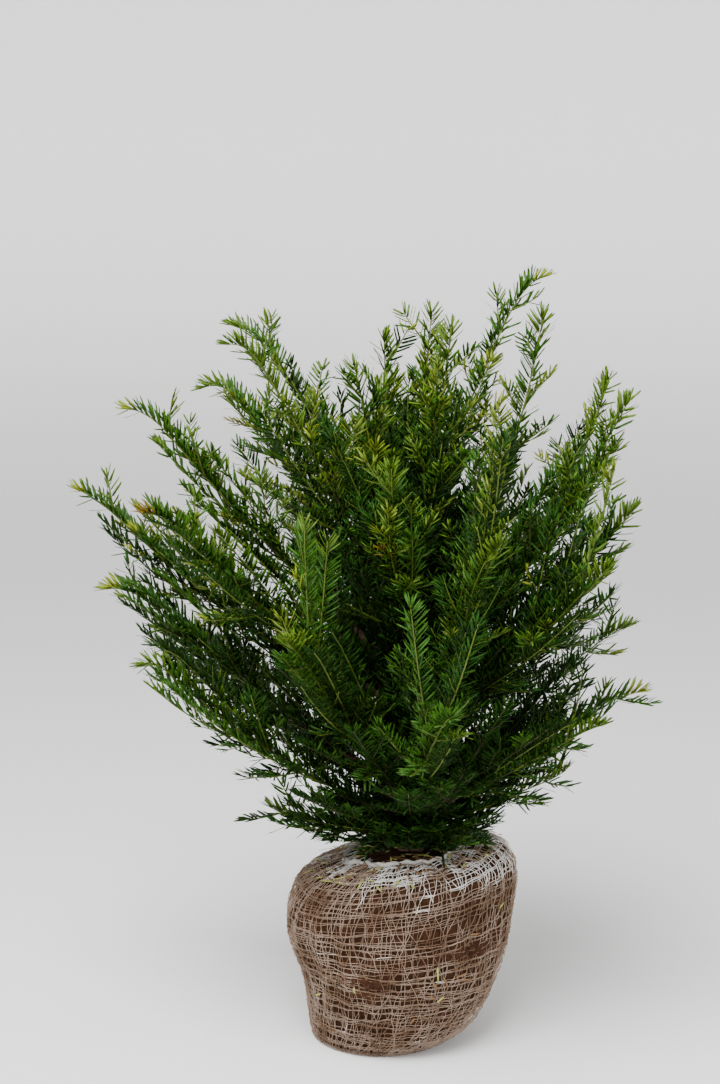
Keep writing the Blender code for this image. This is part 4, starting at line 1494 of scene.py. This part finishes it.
class YEW_OT_net(bpy.types.Operator):
    """Wraps the ball in layers of jute net and draws the net in round the stem"""

    bl_idname = "yew.net"
    bl_label = "Net"

    def execute(self, context):
        settings = context.scene.yew_ball
        looks = [thread_look(name, getattr(settings, name)) for name in THREAD_TINTS]
        rng = np.random.default_rng(SEED + NET_SEED)
        upright = int(2 * np.pi * BALL_RADIUS / settings.opening)
        for layer, (slant, lift, share) in enumerate(NET_LAYERS):
            slope = RING_SLOPE * (1 - 2 * layer)
            families = [
                self.uprights(rng, int(upright * share), slant, lift, settings),
                self.rings(rng, int(SKIN_RUN / settings.opening * share), slope, lift, settings),
            ]
            if layer == 0:
                families.append(self.hem(rng))
            parts = []
            for centres, outward in families:
                radii = 0.5 * settings.thread * rng.uniform(0.75, 1.2, (len(centres), 1))
                radii = np.broadcast_to(radii, centres.shape[:2])
                parts.append((*tubes(centres, radii, THREAD_SIDES, outward), self.tints(centres, rng)))
            places, triangles, kinds = merged(parts)
            piece = mesh_piece(f"net_layer_{layer + 1}", places, triangles, looks, kinds, smooth=True)
            finished(piece, "netted_soil")
        return {"FINISHED"}

    def tints(self, centres, rng):
        """Top-lit, pale, plain or soiled for each stretch of thread: threads are paler near the top, as
        painted light from above, and the earth has stained them in patches lower down and where it is muddy.
        """
        mean = 0.5 * (centres[:, 1:] + centres[:, :-1])
        # Painted light: the top of the ball is made paler
        dirt_and_top_light = DIRT - TOP_LIGHT * smooth_step(mean[..., 2], *TOP_LIGHT_BAND)
        dirt_and_top_light = dirt_and_top_light + STAIN * waves(mean, 31, STAIN_SIZE) + MUD_STAIN * mud_at(mean)
        dirt_and_top_light = dirt_and_top_light + rng.normal(0, THREAD_CHANCE, (len(mean), 1))
        return by_stretch(np.searchsorted(DIRT_AND_LIGHT_STEPS, dirt_and_top_light), THREAD_SIDES)

    def uprights(self, rng, count, slant, lift, settings):
        """Threads that climb the side and run in over the top: angle = start + lean v + drift. They
        lean by the slant, and by more on the right of the ball.
        """
        number = np.arange(count)[:, None]
        v = np.linspace(SHARE_LIMITS[0], UPRIGHT_TO, UPRIGHT_POINTS) * rng.uniform(0.97, 1.03, (count, 1))
        start = 2 * np.pi * (number + rng.uniform(-UPRIGHT_JITTER, UPRIGHT_JITTER, (count, 1))) / count
        drift = wander(rng, count, SKIN_RUN * v[0], UPRIGHT_DRIFT)
        lean = slant * (1 + RIGHT_LEAN * (0.5 + 0.5 * np.cos(start + RIGHT_TURN)) ** 4)
        under = WEAVE * np.sin(np.pi * v * SKIN_RUN / settings.opening + np.pi * number)
        return on_skin(start + lean * v + drift, v, lift + under)

    def rings(self, rng, count, slope, lift, settings):
        """Threads that go round the ball: share = level + slope cos(angle) + drift. The drift
        comes back to its start, so that the ends of a ring meet.
        """
        number = np.arange(count)[:, None]
        angle = np.linspace(0, 2 * np.pi, RING_POINTS)
        level = RING_FROM + RING_SPAN * (number + rng.uniform(-RING_JITTER, RING_JITTER, (count, 1))) / count
        drift = wander(rng, count, BALL_RADIUS * angle, RING_DRIFT, *RING_WAVES)
        closing = 1 - smooth_step(angle, RING_CLOSES, 2 * np.pi)
        v = level + slope * np.cos(angle - RING_TURN) + drift * closing + drift[:, :1] * (1 - closing)
        under = WEAVE * np.cos(np.pi * angle * BALL_RADIUS / settings.opening + np.pi * number)
        angle = angle + rng.uniform(0, 2 * np.pi, (count, 1))
        return on_skin(angle, np.clip(v, *SHARE_LIMITS), lift + under)

    def hem(self, rng):
        """The drawn edge round the stem: a bundle of threads that wind about one wavy loop."""
        angle = np.broadcast_to(np.linspace(0, 2 * np.pi, RING_POINTS), (HEM_THREADS, RING_POINTS))
        wave = 0.012 * np.sin(3 * angle + 0.8) + 0.006 * np.sin(7 * angle)
        twist = HEM_TURNS * angle + 2 * np.pi * np.arange(HEM_THREADS)[:, None] / HEM_THREADS
        spread = rng.uniform(0.4, 1.0, (HEM_THREADS, 1))
        v = HEM_SHARE + wave + HEM_WIDTH * spread * np.cos(twist)
        return on_skin(angle, v, HEM_LIFT + HEM_HEIGHT * spread * np.sin(twist))


class YEW_OT_litter(bpy.types.Operator):
    """Scatters fallen needles over the net and the earth round the stem"""

    bl_idname = "yew.litter"
    bl_label = "Fallen needles"

    def execute(self, context):
        settings = context.scene.yew_needles
        rng = np.random.default_rng(SEED + LITTER_SEED)
        angle = rng.uniform(0, 2 * np.pi, FALLEN)
        on_top = rng.random(FALLEN) < FALLEN_ON_TOP
        v = np.where(on_top, rng.uniform(0.72, 0.98, FALLEN), rng.uniform(0.2, 0.7, FALLEN))
        base, outward = on_skin(angle, v, FALLEN_LIFT)
        outward = unit(outward)
        ahead = unit(square(rng.normal(size=(FALLEN, 3)), outward))
        length = settings.length * rng.uniform(0.35, 0.95, FALLEN)
        width = np.full(FALLEN, FALLEN_WIDTH * settings.width)
        curl = rng.normal(0.0, 0.1, FALLEN)
        places, triangles = flat_needles(base, ahead, outward, np.cross(outward, ahead), length, width, curl)
        looks = [needle_look("fallen_brown", settings.fallen_brown, 0.7, 0.1)]
        looks.append(needle_look("fallen_yellow", settings.fallen_yellow, 0.6, 0.1))
        kinds = np.repeat((rng.random(FALLEN) < FALLEN_YELLOW).astype(int), NEEDLE_FACES)
        finished(mesh_piece("fallen_needles", places, triangles, looks, kinds), "needles")
        return {"FINISHED"}


class YEW_PT_panel(bpy.types.Panel):
    """Lists the steps and their settings"""

    bl_label = "English Yew"
    bl_idname = "YEW_PT_panel"
    bl_space_type = "VIEW_3D"
    bl_region_type = "UI"
    bl_category = "Yew"

    def draw(self, context):
        scene = context.scene
        for title, group, operators in (
            ("Stage", scene.yew_stage, ("yew.stage",)),
            ("Wood", scene.yew_wood, ("yew.wood", "yew.twigs")),
            ("Needles", scene.yew_needles, ("yew.needles", "yew.litter")),
            ("Root ball", scene.yew_ball, ("yew.earth", "yew.net")),
        ):
            box = self.layout.box()
            box.label(text=title)
            for key in group.__annotations__:
                box.prop(group, key)
            for operator in operators:
                box.operator(operator)


GROUPS = {
    "yew_needles": NeedleSettings,
    "yew_wood": WoodSettings,
    "yew_ball": BallSettings,
    "yew_stage": StageSettings,
}
OPERATORS = (
    YEW_OT_stage,
    YEW_OT_wood,
    YEW_OT_twigs,
    YEW_OT_needles,
    YEW_OT_earth,
    YEW_OT_net,
    YEW_OT_litter,
)


def register():
    for name, group in GROUPS.items():
        bpy.utils.register_class(group)
        setattr(bpy.types.Scene, name, PointerProperty(type=group))
    for operator in OPERATORS:
        bpy.utils.register_class(operator)
    bpy.utils.register_class(YEW_PT_panel)


def unregister():
    bpy.utils.unregister_class(YEW_PT_panel)
    for operator in reversed(OPERATORS):
        bpy.utils.unregister_class(operator)
    for name, group in GROUPS.items():
        delattr(bpy.types.Scene, name)
        bpy.utils.unregister_class(group)


def main():
    for obj in [o for o in bpy.data.objects if o.type in ("CAMERA", "LIGHT") or o.name == "Cube"]:
        bpy.data.objects.remove(obj, do_unlink=True)
    register()
    bpy.ops.yew.stage()
    bpy.ops.yew.wood()
    bpy.ops.yew.twigs()
    bpy.ops.yew.needles()
    bpy.ops.yew.earth()
    bpy.ops.yew.net()
    bpy.ops.yew.litter()


if __name__ == "__main__":
    main()
